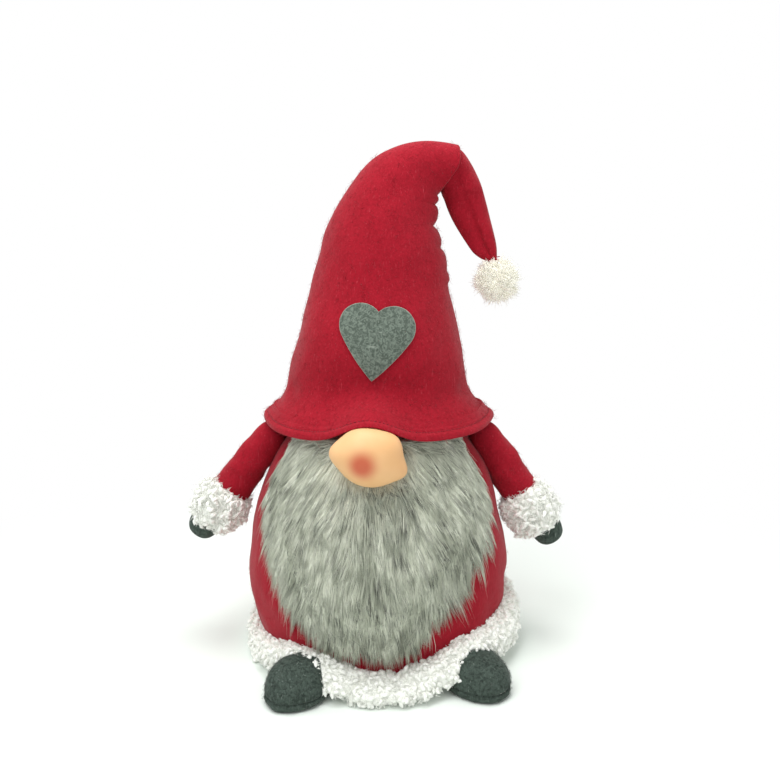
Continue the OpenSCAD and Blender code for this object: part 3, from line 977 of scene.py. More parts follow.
class Strand:
    """One tapered strand, modelled once, from which whole fields are copied."""

    def __init__(self, sides: int, levels: Sequence[float], taper: Sequence[float]) -> None:
        """Models the strand as a cone cut across at each level.

        Args:
            sides: The number of sides.
            levels: The share of the length at each cut, from 0 to 1.
            taper: The share of the width at each level.
        """
        cone = start(bpy.ops.mesh.primitive_cone_add, "strand", vertices=sides, radius1=1,
                     radius2=0, depth=1, location=(0, 0, 0.5))
        bpy.ops.object.transform_apply(location=True)
        bpy.ops.object.mode_set(mode="EDIT")
        for level in levels[1:-1]:
            bpy.ops.mesh.select_all(action="SELECT")
            bpy.ops.mesh.bisect(plane_co=(0, 0, level), plane_no=(0, 0, 1))
        bpy.ops.object.mode_set(mode="OBJECT")
        points = corners(cone)
        self.levels = np.array(levels)
        self.step = np.abs(points[:, 2:3] - self.levels[None]).argmin(axis=1)
        widths = np.maximum(1 - points[:, 2], 1e-6)
        self.section = points[:, :2] / widths[:, None] * np.array(taper)[self.step][:, None]
        self.section[self.step == len(levels) - 1] = 0
        self.faces = [tuple(face.vertices) for face in cone.data.polygons]
        bpy.data.objects.remove(cone)

    def field(self, name: str, paths: Points, widths: Points, up: Points,
              flat: float = 1.0) -> bpy.types.Object:
        """Copies the strand along many paths into one piece.

        Args:
            name: The new piece's name.
            paths: For each strand, one point per level, in metres.
            widths: Each strand's radius in metres.
            up: The direction that each strand's flat side faces.
            flat: The thickness against the width.

        Returns:
            The new piece, with its share of the length stored at each point.
        """
        ways = unit(np.gradient(paths, axis=1))
        across = unit(np.cross(ways, np.broadcast_to(up[:, None], ways.shape)))
        above = np.cross(across, ways)
        spots = (paths[:, self.step]
                 + across[:, self.step] * (self.section[:, 0] * widths[:, None])[..., None]
                 + above[:, self.step] * (self.section[:, 1] * widths[:, None])[..., None] * flat)
        copies, each = spots.shape[:2]
        sizes = np.array([len(face) for face in self.faces])
        loops = np.concatenate([np.array(face) for face in self.faces])
        shifts = np.repeat(np.arange(copies) * each, len(loops))
        mesh = bpy.data.meshes.new(name)
        mesh.vertices.add(copies * each)
        mesh.vertices.foreach_set("co", spots.ravel())
        mesh.loops.add(copies * len(loops))
        mesh.loops.foreach_set("vertex_index", (np.tile(loops, copies) + shifts).astype(np.int32))
        mesh.polygons.add(copies * len(sizes))
        starts = np.concatenate([[0], np.cumsum(np.tile(sizes, copies))[:-1]])
        mesh.polygons.foreach_set("loop_start", starts.astype(np.int32))
        mesh.update(calc_edges=True)
        mesh.shade_smooth()
        piece = bpy.data.objects.new(name, mesh)
        bpy.context.scene.collection.objects.link(piece)
        mark(piece, "along", np.tile(self.levels[self.step], copies))
        return piece

    def spread(self, values: Points) -> Points:
        """Copies one number per strand, or per level of each strand, to every point."""
        if values.ndim == 1:
            return np.repeat(values, len(self.step))
        return values[:, self.step].ravel()


HAIR_STRAND = Strand(3, (0.0, 0.35, 0.7, 1.0), (0.8, 1.0, 0.75, 0.0))
TUFT = Strand(5, (0.0, 0.25, 0.5, 0.75, 1.0), (0.75, 1.0, 1.0, 0.62, 0.0))


@dataclass
class Nap:
    """Loose fibres that stand off a felt surface."""

    length: float = 5 * MM
    radius: float = 0.09 * MM

    def grow(self, name: str, skin: bpy.types.Object, count: int, seed: int,
             keep: Callable[[Points, Points], Points]) -> bpy.types.Object:
        """Sets short bent fibres on a skin.

        Args:
            name: The new piece's name.
            skin: The piece that the fibres stand on.
            count: The number of fibres.
            seed: Chooses the fibres' places.
            keep: Gives each place's chance of holding a fibre.

        Returns:
            The new piece.
        """
        rng = np.random.default_rng(seed)
        roots, ways = Surface(skin).scatter(count, rng, keep)
        lean = unit(rng.normal(size=roots.shape))
        lean = unit(lean - ways * (lean * ways).sum(axis=1, keepdims=True))
        long = self.length * rng.uniform(0.5, 1.6, len(roots))[:, None]
        paths = np.stack([roots - ways * 0.3 * MM,
                          roots + lean * long * 0.35 + ways * long * 0.14,
                          roots + lean * long * 0.7 + ways * long * 0.20,
                          roots + lean * long * 0.95 + ways * long
                          * rng.uniform(0.02, 0.45, len(roots))[:, None]], axis=1)
        return HAIR_STRAND.field(name, paths, np.full(len(roots), self.radius), ways)


def fleece(piece: bpy.types.Object, count: int, height: float, seed: int) -> None:
    """Swells a skin into small soft clumps, as curled fleece has.

    Args:
        piece: The finely meshed skin.
        count: The number of clumps.
        height: How far a clump's middle stands out, in millimetres.
        seed: Chooses the clumps' places.
    """
    rng = np.random.default_rng(seed)
    middles, _ = Surface(piece).scatter(count, rng, lambda p, n: np.ones(len(p)))
    tree = KDTree(len(middles))
    for index, middle in enumerate(middles):
        tree.insert(middle, index)
    tree.balance()
    points = corners(piece)
    gaps = np.array([tree.find(point)[2] for point in points]) / MM
    size = np.percentile(gaps, 95)
    swell = height * (1 - np.clip(gaps / size, 0, 1) ** 2) ** 0.7
    ways = normals(piece)
    shape(piece, lambda spots: spots + ways * swell[:, None])
    # Stores how far each point swells; the sherpa material paints shade into the low gaps between the
    # clumps.
    mark(piece, "along", np.clip(0.1 + 0.8 * swell / height, 0, 1))


@dataclass
class Curls:
    """Sherpa tufts: short thick curled locks, with finer locks among them."""

    length: float = 7.5 * MM
    radius: float = 1.75 * MM
    fall: float = 0.35
    stand: float = 1.0

    def grow(self, name: str, skin: bpy.types.Object, count: int, seed: int,
             keep: Callable[[Points, Points], Points], strand: Strand = TUFT,
             ) -> bpy.types.Object:
        """Sets curled locks on a skin.

        Args:
            name: The new piece's name.
            skin: The piece that the locks stand on.
            count: The number of locks.
            seed: Chooses the locks' places.
            keep: Gives each place's chance of holding a lock.
            strand: The strand that the locks are copied from.

        Returns:
            The new piece.
        """
        rng = np.random.default_rng(seed)
        roots, ways = Surface(skin).scatter(count, rng, keep)
        clump = ripple(roots / MM, 16, seed + 1)[:, None]
        lean = unit(rng.normal(size=roots.shape) + np.array([0, 0, -self.fall]))
        lean = unit(lean - ways * (lean * ways).sum(axis=1, keepdims=True) * 0.8)
        twist = np.cross(ways, lean) * rng.choice([-1, 1], len(roots))[:, None]
        long = self.length * rng.uniform(0.65, 1.2, len(roots))[:, None] * (1 + 0.12 * clump)
        path = []
        for level in strand.levels:
            bend = level * 2.6
            rise = self.stand * 0.46 * math.sin(min(bend, 1.9)) - 0.12
            path.append(roots + ways * long * rise
                        + lean * long * level * 0.62
                        + twist * long * 0.26 * (1 - math.cos(bend)))
        widths = self.radius * rng.uniform(0.7, 1.25, len(roots))
        paths = np.stack(path, axis=1)
        paths[..., 2] = np.maximum(paths[..., 2], widths[:, None])
        return strand.field(name, paths, widths, ways)


# ---- cloth under pressure -----------------------------------------------------------


@dataclass(frozen=True)
class Stuffing:
    """Fills a sewn cover: the cloth swells against a light push from inside."""

    push: float = 4.0
    frames: int = 20
    cap: float = 3.0 * MM

    def fill(self, piece: bpy.types.Object) -> None:
        """Swells a closed piece by cloth simulation, with a cap on each point's move.

        Args:
            piece: The closed, evenly meshed piece.
        """
        before = corners(piece)
        pick(piece)
        modifier = piece.modifiers.new("cloth", "CLOTH")
        settings = modifier.settings
        settings.use_pressure = True
        settings.uniform_pressure_force = self.push
        settings.tension_stiffness = 25
        settings.compression_stiffness = 25
        settings.bending_stiffness = 4
        settings.effector_weights.gravity = 0
        modifier.point_cache.frame_start = 1
        modifier.point_cache.frame_end = self.frames
        scene = bpy.context.scene
        for number in range(1, self.frames + 1):
            scene.frame_set(number)
        bpy.ops.object.modifier_apply(modifier=modifier.name)
        scene.frame_set(1)
        move = corners(piece) - before
        far = np.linalg.norm(move, axis=1, keepdims=True)
        capped = before + move * np.minimum(1, self.cap / np.maximum(far, 1e-9))
        shape(piece, lambda points: capped / MM)


# ---- body --------------------------------------------------------------------------


@dataclass
class Body:
    """The egg-shaped felt bag, with what lies inside and under it."""

    widest_at: float = 66.0
    foot_radius: float = 100.0
    seam_depth: float = 0.9
    radius: float = field(init=False)
    top: float = field(init=False)
    skin: bpy.types.Object = field(init=False)

    def __post_init__(self) -> None:
        """Takes the bag's radius and top from the frame."""
        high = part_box("body_shell")[1]
        self.radius = high.x / MM
        self.top = high.z / MM

    def radius_at(self, height: Points) -> Points:
        """Gives the bag's radius at a height, both in millimetres.

        Args:
            height: The heights to look at.

        Returns:
            The radius at each.
        """
        low_reach = self.widest_at / math.sqrt(1 - (self.foot_radius / self.radius) ** 2)
        reach = np.where(height < self.widest_at, low_reach, self.top - self.widest_at)
        share = np.clip((height - self.widest_at) / reach, -0.9999, 0.9999)
        return self.radius * np.sqrt(1 - share ** 2)

    def build(self) -> None:
        """Makes the bag and its loose fibres, and dresses what it holds."""
        levels = [0.4, 3, 8, 16, 27, 40, 53, 66, 80, 95, 110, 125, 140, 155, 170, 184, 197,
                  209, 219, 228, 235, 239.5]
        rings = [Ring(0, z, float(self.radius_at(np.float64(z))),
                      float(self.radius_at(np.float64(z)))) for z in levels]
        rings = [Ring(0, 0.4, 4, 4), Ring(0, 0.4, 60, 60), *rings, Ring(0, self.top - 0.2, 6, 6)]
        skin = loft("body_bag", rings, 96, close_first=True, close_last=True)
        subdivide(skin)
        shape(skin, self._soften)
        smooth_shading(skin, 70)
        dress(skin, RED_FELT, "body", ["body_shell", "body_stuffing"])
        self.skin = skin
        nap = Nap(5 * MM, 0.08 * MM).grow(
            "body_nap", skin, 1500, 11, self._bare)
        dress(nap, RED_FELT, "body")
        carried("base_cloth", CHARCOAL_FELT)
        carried("base_board", Card())
        carried("ballast_bag", COTTON)
        carried("ballast_fill", Grain())

    @staticmethod
    def _bare(points: Points, ways: Points) -> Points:
        """Keeps loose fibres off the places that the hem, the hat and the arms cover."""
        by_arm = (np.abs(ways[:, 1]) < 0.5) & (points[:, 2] > 85)
        return (points[:, 2] > 20) & (points[:, 2] < 215) & ~by_arm

    def _soften(self, points: Points) -> Points:
        """Adds the bag's seams, dents and the pull of the hem.

        Args:
            points: The points in millimetres.

        Returns:
            The moved points.
        """
        angle = np.degrees(np.arctan2(points[:, 1], points[:, 0]))
        height = points[:, 2]
        sides = (height > 2) & (height < 236)
        push = 0.8 * ripple(points, 62, 21) + 0.35 * ripple(points, 24, 22)
        for seam in (-2.0, 90.0, 182.0):
            push -= self.seam_depth * hump(turned(angle, seam), 0, 1.3)
        tugs = hump(height, 48, 20) * (0.9 * np.sin(np.radians(angle * 13) + height / 9))
        outward = unit(points * (1, 1, 0))
        return points + outward * ((push + tugs) * sides)[:, None]


@dataclass
class Hem:
    """The sherpa roll round the foot of the body."""

    body: Body
    tufts: int = 1700
    locks: int = 11000

    def build(self) -> None:
        """Makes the roll, its tufts and its finer locks."""
        roll = copy_of("hem_trim", "hem_roll", 1.9 * MM)
        relax(roll, 10)
        shape(roll, self._lumps)
        fleece(roll, 1150, 2.6, 30)
        shape(roll, self._tuck)
        smooth_shading(roll, 180)
        dress(roll, SHERPA, "body", ["hem_trim"])
        tufts = Curls(7.5 * MM, 1.8 * MM, 0.6, 0.75).grow("hem_tufts", roll, self.tufts, 31,
                                                    self._outside)
        dress(tufts, SHERPA, "body")
        locks = Curls(7.5 * MM, 0.28 * MM, 0.5, 0.7).grow(
            "hem_locks", roll, self.locks, 32, self._outside, HAIR_STRAND)
        dress(locks, SHERPA, "body")

    def _tuck(self, points: Points) -> Points:
        """Sinks the roll's hidden inner face into the body.

        Args:
            points: The points in millimetres.

        Returns:
            The moved points.
        """
        reach = np.hypot(points[:, 0], points[:, 1])
        hidden = reach < self.body.radius_at(points[:, 2]) + 1.6
        return points - unit(points * (1, 1, 0)) * (4.0 * hidden)[:, None]

    @staticmethod
    def _lumps(points: Points) -> Points:
        """Pulls the roll in a little and swells it in lumps.

        Args:
            points: The points in millimetres.

        Returns:
            The moved points.
        """
        outward = unit(points * (1, 1, 0))
        away = turned(np.degrees(np.arctan2(points[:, 1], points[:, 0])), 188)
        right, front = hump(away, 0, 42), hump(away - 84, 0, 25)
        push = -3.0 - 5.0 * right + 1.3 * ripple(points, 17, 33)
        low = 1 - 0.26 * right - 0.40 * front
        return (points + outward * push[:, None]) * np.stack([low ** 0, low ** 0, low], axis=1)

    @staticmethod
    def _outside(points: Points, ways: Points) -> Points:
        """Keeps tufts off the inner side and the underside."""
        outward = (unit(points * (1, 1, 0)) * ways).sum(axis=1)
        return (outward > -0.35) & (points[:, 2] > 3.0) & (ways[:, 2] > -0.75)


# ---- hat -----------------------------------------------------------------------------


@dataclass
class Hat:
    """The crown with its flared brim, its topstitching and its limp, folded end."""

    wall: float = 2.0
    brim_arch: float = 16.3
    arch_at: float = -93.0
    arch_spread: float = 15.0
    nose_push: float = 9.0
    stitch_up: float = 7.0
    stitch_pitch: float = 3.0
    stitch_radius: float = 0.42
    pucker_heights: tuple[float, ...] = (341.0, 360.5, 379.0, 397.0)
    pucker_depths: tuple[float, ...] = (2.0, 4.0, 5.5, 5.0)
    fold_bulge: float = 7.5
    brim: float = field(init=False)
    crown: bpy.types.Object = field(init=False)

    def __post_init__(self) -> None:
        """Takes the brim's height from the frame."""
        self.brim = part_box("hat_shell")[0].z / MM

    def build(self) -> None:
        """Makes the crown, its end, its stitches and its loose fibres."""
        self._build_crown()
        self._build_stitches()
        self._build_tip()
        carried("hat_gather_thread", TIE_THREAD)

    def _crown_rings(self) -> list[Ring]:
        """Lists the crown from its turned-in hem, round the edge and up to the fold."""
        z = self.brim
        hem = [Ring(0.3, z + 14, 98.0 - 4.2, 98.0 - 4.2), Ring(0.4, z + 6, 98.6, 98.6),
               Ring(0.5, z + 1.6, 101.5, 101.5), Ring(0.5, z + 0.1, 103.3, 103.3),
               Ring(0.5, z + 0.7, 104.9, 104.9), Ring(0.4, z + 2.6, 104.9, 104.9),
               Ring(0.2, z + 5.2, 103.8, 103.8), Ring(0, z + 7, 101.1, 101.1),
               Ring(0, z + 8.8, 100.2, 100.2)]
        upper = [(-0.5, 219, 93, 0), (0, 228, 87, 0), (0.3, 242, 82, 0), (0.5, 271, 75.5, 0),
                 (1.8, 300, 68.3, 0), (2, 328, 60.9, 0), (3.3, 356, 54.9, 0), (5.1, 383, 47, 2),
                 (11.5, 398.5, 42, 10), (18, 408, 38.4, 20), (26, 417.5, 34.6, 35),
                 (36, 424.2, 29.5, 52), (47, 427.4, 25.0, 76), (55, 428.0, 22.8, 94),
                 (61.8, 427.8, 21.7, 109)]
        body = between([hem[-1], *(Ring(x, h, r, r, t) for x, h, r, t in upper)], 7)
        end = [Ring(62.3, 427.8, 20.6, 20.8, 110), Ring(61.0, 427.6, 18.6, 19.0, 110),
               Ring(57.5, 427.6, 14, 15, 108), Ring(56.5, 427.6, 6, 7, 108)]
        return [*between(hem, 3)[:-1], *body, *end]

    def _build_crown(self) -> None:
        """Makes the crown as one felt wall with its hem turned in."""
        crown = loft("hat_crown", self._crown_rings(), 144, close_last=True)
        shape(crown, self._drape)
        apply(crown, "SOLIDIFY", thickness=self.wall * MM, offset=-1.0)
        smooth_shading(crown, 80)
        dress(crown, RED_FELT, "body",
              ["hat_shell", "hat_hem_facing", "hat_stuffing"])
        self.crown = crown
        nap = Nap(5.5 * MM, 0.085 * MM).grow(
            "crown_nap", crown, 4200, 41,
            lambda p, n: (unit(p * (1, 1, 0)) * n).sum(axis=1) > 0.2)
        dress(nap, RED_FELT, "body")

    def _drape(self, points: Points) -> Points:
        """Arches the brim over the nose, puckers the inner side and creases the fold.

        Args:
            points: The points in millimetres.

        Returns:
            The moved points.
        """
        x, y, z = points.T
        angle = np.degrees(np.arctan2(y, x))
        outward = unit(points * (1, 1, 0))
        low = np.clip((250 - z) / (250 - self.brim), 0, 1)
        front = hump(turned(angle, self.arch_at), 0, self.arch_spread)
        lift = self.brim_arch * front * low + 6.0 * np.cos(np.radians(angle)) ** 6 * low ** 2
        wave = low ** 1.5 * (1.3 * np.sin(np.radians(angle * 3 + 40))
                             + 0.8 * np.sin(np.radians(angle * 7)))
        push = self.nose_push * hump(turned(angle, self.arch_at), 0, 15) * low ** 1.2
        push += wave
        side = hump(turned(angle, 0), 0, 40) * (z > 330) * (z < 404)
        for height, depth in zip(self.pucker_heights, self.pucker_depths):
            notch = np.exp(-(np.abs(z - height) / 3.0) ** 1.15)
            push -= depth * notch * side * hump(turned(angle, -4), 0, 26)
        push += 2.0 * side * hump(turned(angle, 0), 0, 30)
        for middle, sign in ((-24.0, 1.0), (205.0, 1.0), (150.0, 0.8), (30.0, 0.8)):
            push -= sign * 2.2 * hump(turned(angle, middle), 0, 9) * hump(z, 238, 9)
        tame = np.clip((z - self.brim - 4) / 20, 0.15, 1) * np.clip((452 - z) / 30, 0.4, 1)
        push += tame * (0.9 * ripple(points, 70, 42) + 0.35 * ripple(points, 26, 43))
        face = hump(turned(angle, -90), 0, 50)
        push += face * (4.5 * hump(z, 283, 26) - 8.0 * hump(z, 238, 17))
        push *= np.where(z > 403, np.clip((60 - x) / 20, 0, 1), 1)
        points = points + outward * push[:, None] + np.stack([0 * x, 0 * x, lift], axis=1)
        return self._crease(points)

    def _crease(self, points: Points) -> Points:
        """Bulges the fold's edge outwards between its top corner and its foot.

        Args:
            points: The points in millimetres.

        Returns:
            The moved points.
        """
        x, _, z = points.T
        across = np.clip((z - 427.8) / 21, -1, 1)
        near = np.clip((x - 36) / 26, 0, 1) ** 2
        bulge = self.fold_bulge * near * (1 - across ** 2)
        peak = 1.6 * near * hump(z, 449, 5)
        return points + np.stack([bulge + 0.8 * peak, 0 * x, 0 * x], axis=1)

    def _build_stitches(self) -> None:
        """Sews a row of short stitches into the brim above its hem."""
        ball = start(bpy.ops.mesh.primitive_uv_sphere_add, "stitch", segments=6, ring_count=6,
                     radius=1)
        bpy.ops.object.mode_set(mode="EDIT")
        bpy.ops.mesh.select_all(action="SELECT")
        half = self.stitch_pitch * 0.43
        bpy.ops.transform.resize(value=(half * MM, self.stitch_radius * MM,
                                        self.stitch_radius * MM))
        bpy.ops.object.mode_set(mode="OBJECT")
        surface = Surface(self.crown)
        count = int(2 * math.pi * 101.5 / self.stitch_pitch)
        spots = []
        for number in range(count):
            angle = 2 * math.pi * number / count
            off = turned(np.float64(math.degrees(angle)), self.arch_at)
            lift = self.brim_arch * float(hump(off, 0, self.arch_spread))
            lift += 6.0 * math.cos(angle) ** 6
            height = self.brim + self.stitch_up + lift * (1 - self.stitch_up / 46.6)
            way = Vector((math.cos(angle), math.sin(angle), 0))
            hit = surface.tree.ray_cast(way * 0.2 + Vector((0, 0, height * MM)), -way, 0.2)[0]
            spots.append(hit + way * 0.10 * MM)
        shapes = corners(ball)
        faces = [tuple(face.vertices) for face in ball.data.polygons]
        made, lists = [], []
        for number, spot in enumerate(spots):
            along = (spots[(number + 1) % count] - spots[number - 1]).normalized()
            out = Vector((spot.x, spot.y, 0)).normalized()
            up = out.cross(along)
            turn = np.array([along, out, up])
            made.append(shapes @ turn + np.array(spot))
            lists.extend(tuple(i + number * len(shapes) for i in face) for face in faces)
        bpy.data.objects.remove(ball)
        mesh = bpy.data.meshes.new("brim_stitches")
        mesh.from_pydata(np.vstack(made).tolist(), [], lists)
        mesh.shade_smooth()
        row = bpy.data.objects.new("brim_stitches", mesh)
        bpy.context.scene.collection.objects.link(row)
        dress(row, RED_THREAD, "body", ["brim_stitching"])

    def _build_tip(self) -> None:
        """Makes the limp end that hangs from the fold, creased down its front."""
        knots = [Ring(57.5, 430.5, 15.5, 14.0, 100), Ring(64.5, 426.5, 20.0, 16.5, 113),
                 Ring(71.0, 417.0, 19.0, 15.0, 128), Ring(76.5, 405.5, 18.6, 13.5, 138),
                 Ring(80.8, 395, 17.6, 12.5, 143), Ring(86, 382, 15.4, 11.2, 151),
                 Ring(91, 370.3, 13.3, 9.8, 154), Ring(96, 359.2, 10.8, 8.4, 157),
                 Ring(100.5, 352.0, 6.6, 6.0, 158), Ring(103.4, 348.6, 3.2, 3.2, 158),
                 Ring(104.6, 345.5, 2.6, 2.6, 158)]
        rings = [Ring(57.0, 431.0, 3, 3, 100), *between(knots, 4), Ring(104.8, 345.0, 0.6, 0.6, 158)]
        tip = loft("hat_end_cone", rings, 64, close_first=True, close_last=True)
        shape(tip, self._crumple)
        subdivide(tip)
        smooth_shading(tip, 60)
        dress(tip, RED_FELT, None, ["hat_tip"])
        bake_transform(tip)

    @staticmethod
    def _crumple(points: Points) -> Points:
        """Creases the limp cone: a lapped fold down the front and a soft kink above.

        Args:
            points: The points in millimetres.

        Returns:
            The moved points.
        """
        x, y, z = points.T
        down = np.clip((425 - z) / 75, 0, 1)
        middle = np.interp(z, [346, 352, 359, 370, 382, 395, 405, 417, 427],
                           [104, 100.5, 96, 91, 86, 80.8, 76.5, 71, 66])
        wide = np.interp(z, [346, 352, 370, 382, 395, 417, 427], [3, 8, 15, 17, 20, 24, 24])
        across = (x - middle) / wide
        front = np.clip(-y / 4, -1, 1)
        lap = np.tanh((across - 0.06) / 0.06) * 1.6 - 2.4 * np.exp(-np.abs(across - 0.02) / 0.16)
        kink = 2.2 * np.exp(-np.abs(z - 409 - 0.15 * (x - 76)) / 3.5)
        depth = np.clip((z - 346) / 14, 0, 1)
        shift = (lap * down ** 0.5 * depth + kink * (np.abs(across) < 1.3)) * front
        shift += 0.7 * ripple(points, 22, 47) * depth
        back = 5.0 * np.clip((432 - z) / 30, 0, 1) * np.clip((z - 346) / 40, 0, 1)
        return points + np.stack([0 * x, back - shift * np.clip(np.abs(y) / 5, 0, 1), 0 * x],
                                 axis=1)


@dataclass
class Heart:
    """The grey felt heart on the crown's front.

    Its width, height and area are those of its outline as seen from the front. The flat cut is
    larger, since the crown curves away behind it.
    """

    middle: tuple[float, float] = (-0.5, 281.4)
    tilt: float = 6.0
    width: float = 61.5
    height: float = 61.5
    lobe_share: float = 0.288
    thickness: float = 2.0
    sides: int = 120
    area: float = 0.0

    def build(self, crown: bpy.types.Object) -> None:
        """Cuts the heart flat, lays it on the crown and thickens it.

        Args:
            crown: The piece that it is glued to.
        """
        heart = start(bpy.ops.mesh.primitive_circle_add, "heart", vertices=self.sides,
                      radius=1, fill_type="NOTHING")
        shape(heart, self._outline)
        bpy.ops.object.mode_set(mode="EDIT")
        bpy.ops.mesh.select_all(action="SELECT")
        share = 1.0
        for step in (0.965, 0.92, 0.82, 0.7, 0.56, 0.42, 0.28, 0.14):
            bpy.ops.mesh.extrude_region_move()
            bpy.ops.transform.resize(value=(step / share,) * 3, center_override=(0, 0, 0))
            share = step
        bpy.ops.mesh.merge(type="CENTER")
        bpy.ops.object.mode_set(mode="OBJECT")
        edge = np.zeros(len(heart.data.vertices))
        edge[:self.sides] = 1
        mark(heart, "edge", edge)
        surface = Surface(crown)
        shape(heart, lambda points: self._lay(points, surface))
        self._face_front(heart)
        apply(heart, "SOLIDIFY", thickness=self.thickness * MM, offset=1.0)
        apply(heart, "BEVEL", width=0.35 * MM, segments=2, limit_method="ANGLE",
              angle_limit=math.radians(50))
        smooth_shading(heart, 40)
        dress(heart, CutEdgeFelt(), "body", ["heart_patch"])

    def _outline(self, points: Points) -> Points:
        """Turns the circle's points into a heart's outline, flat in X and Y.

        Half of it is an arc for the lobe and a slightly full curve down to the point.

        Args:
            points: The points in millimetres.

        Returns:
            The outline's points.
        """
        lobe = self.width * self.lobe_share
        away = self.width / 2 - lobe
        start_turn = math.acos(-away / lobe)
        turns = np.linspace(start_turn, math.radians(-32), 40)
        arc = np.stack([away + lobe * np.cos(turns), lobe * np.sin(turns)], axis=1)
        foot = np.array([0.0, lobe - self.height])
        knee = arc[-1] + (foot - arc[-1]) * 0.5 + np.array([2.8, -0.8])
        share = np.linspace(0, 1, 30)[1:, None]
        curve = arc[-1] * (1 - share) ** 2 + 2 * knee * share * (1 - share) + foot * share ** 2
        half = np.vstack([arc, curve])
        line = np.vstack([half, half[-2:0:-1] * (-1, 1)])
        line = np.vstack([line, line[:1]])
        self.area = abs(float(np.sum(line[:-1, 0] * line[1:, 1] - line[1:, 0] * line[:-1, 1]))) / 2
        run = np.concatenate([[0], np.cumsum(np.linalg.norm(np.diff(line, axis=0), axis=1))])
        order = np.argsort(np.arctan2(points[:, 0], points[:, 1]) % (2 * math.pi))
        steps = np.empty(len(points))
        steps[order] = np.arange(len(points)) * run[-1] / len(points)
        middle = lobe - self.height / 2
        return np.stack([np.interp(steps, run, line[:, 0]),
                         np.interp(steps, run, line[:, 1]) - middle, 0 * steps], axis=1)

    def _lay(self, points: Points, surface: Surface) -> Points:
        """Stands the heart up, tilts it and presses it onto the crown.

        Args:
            points: The points in millimetres.
            surface: The crown's surface.

        Returns:
            The moved points.
        """
        lean = math.radians(self.tilt)
        x = self.middle[0] + points[:, 0] * math.cos(lean) + points[:, 1] * math.sin(lean)
        z = self.middle[1] - points[:, 0] * math.sin(lean) + points[:, 1] * math.cos(lean)
        laid = []
        for across, height in zip(x, z):
            origin = Vector((across, -200, height)) * MM
            hit = surface.tree.ray_cast(origin, Vector((0, 1, 0)), 0.3)[0]
            laid.append((across, hit.y / MM - 0.5, height))
        return np.array(laid)

    @staticmethod
    def _face_front(heart: bpy.types.Object) -> None:
        """Turns the heart's faces towards the front."""
        if heart.data.polygons[0].normal.y > 0:
            pick(heart)
            bpy.ops.object.mode_set(mode="EDIT")
            bpy.ops.mesh.select_all(action="SELECT")
            bpy.ops.mesh.flip_normals()
            bpy.ops.object.mode_set(mode="OBJECT")


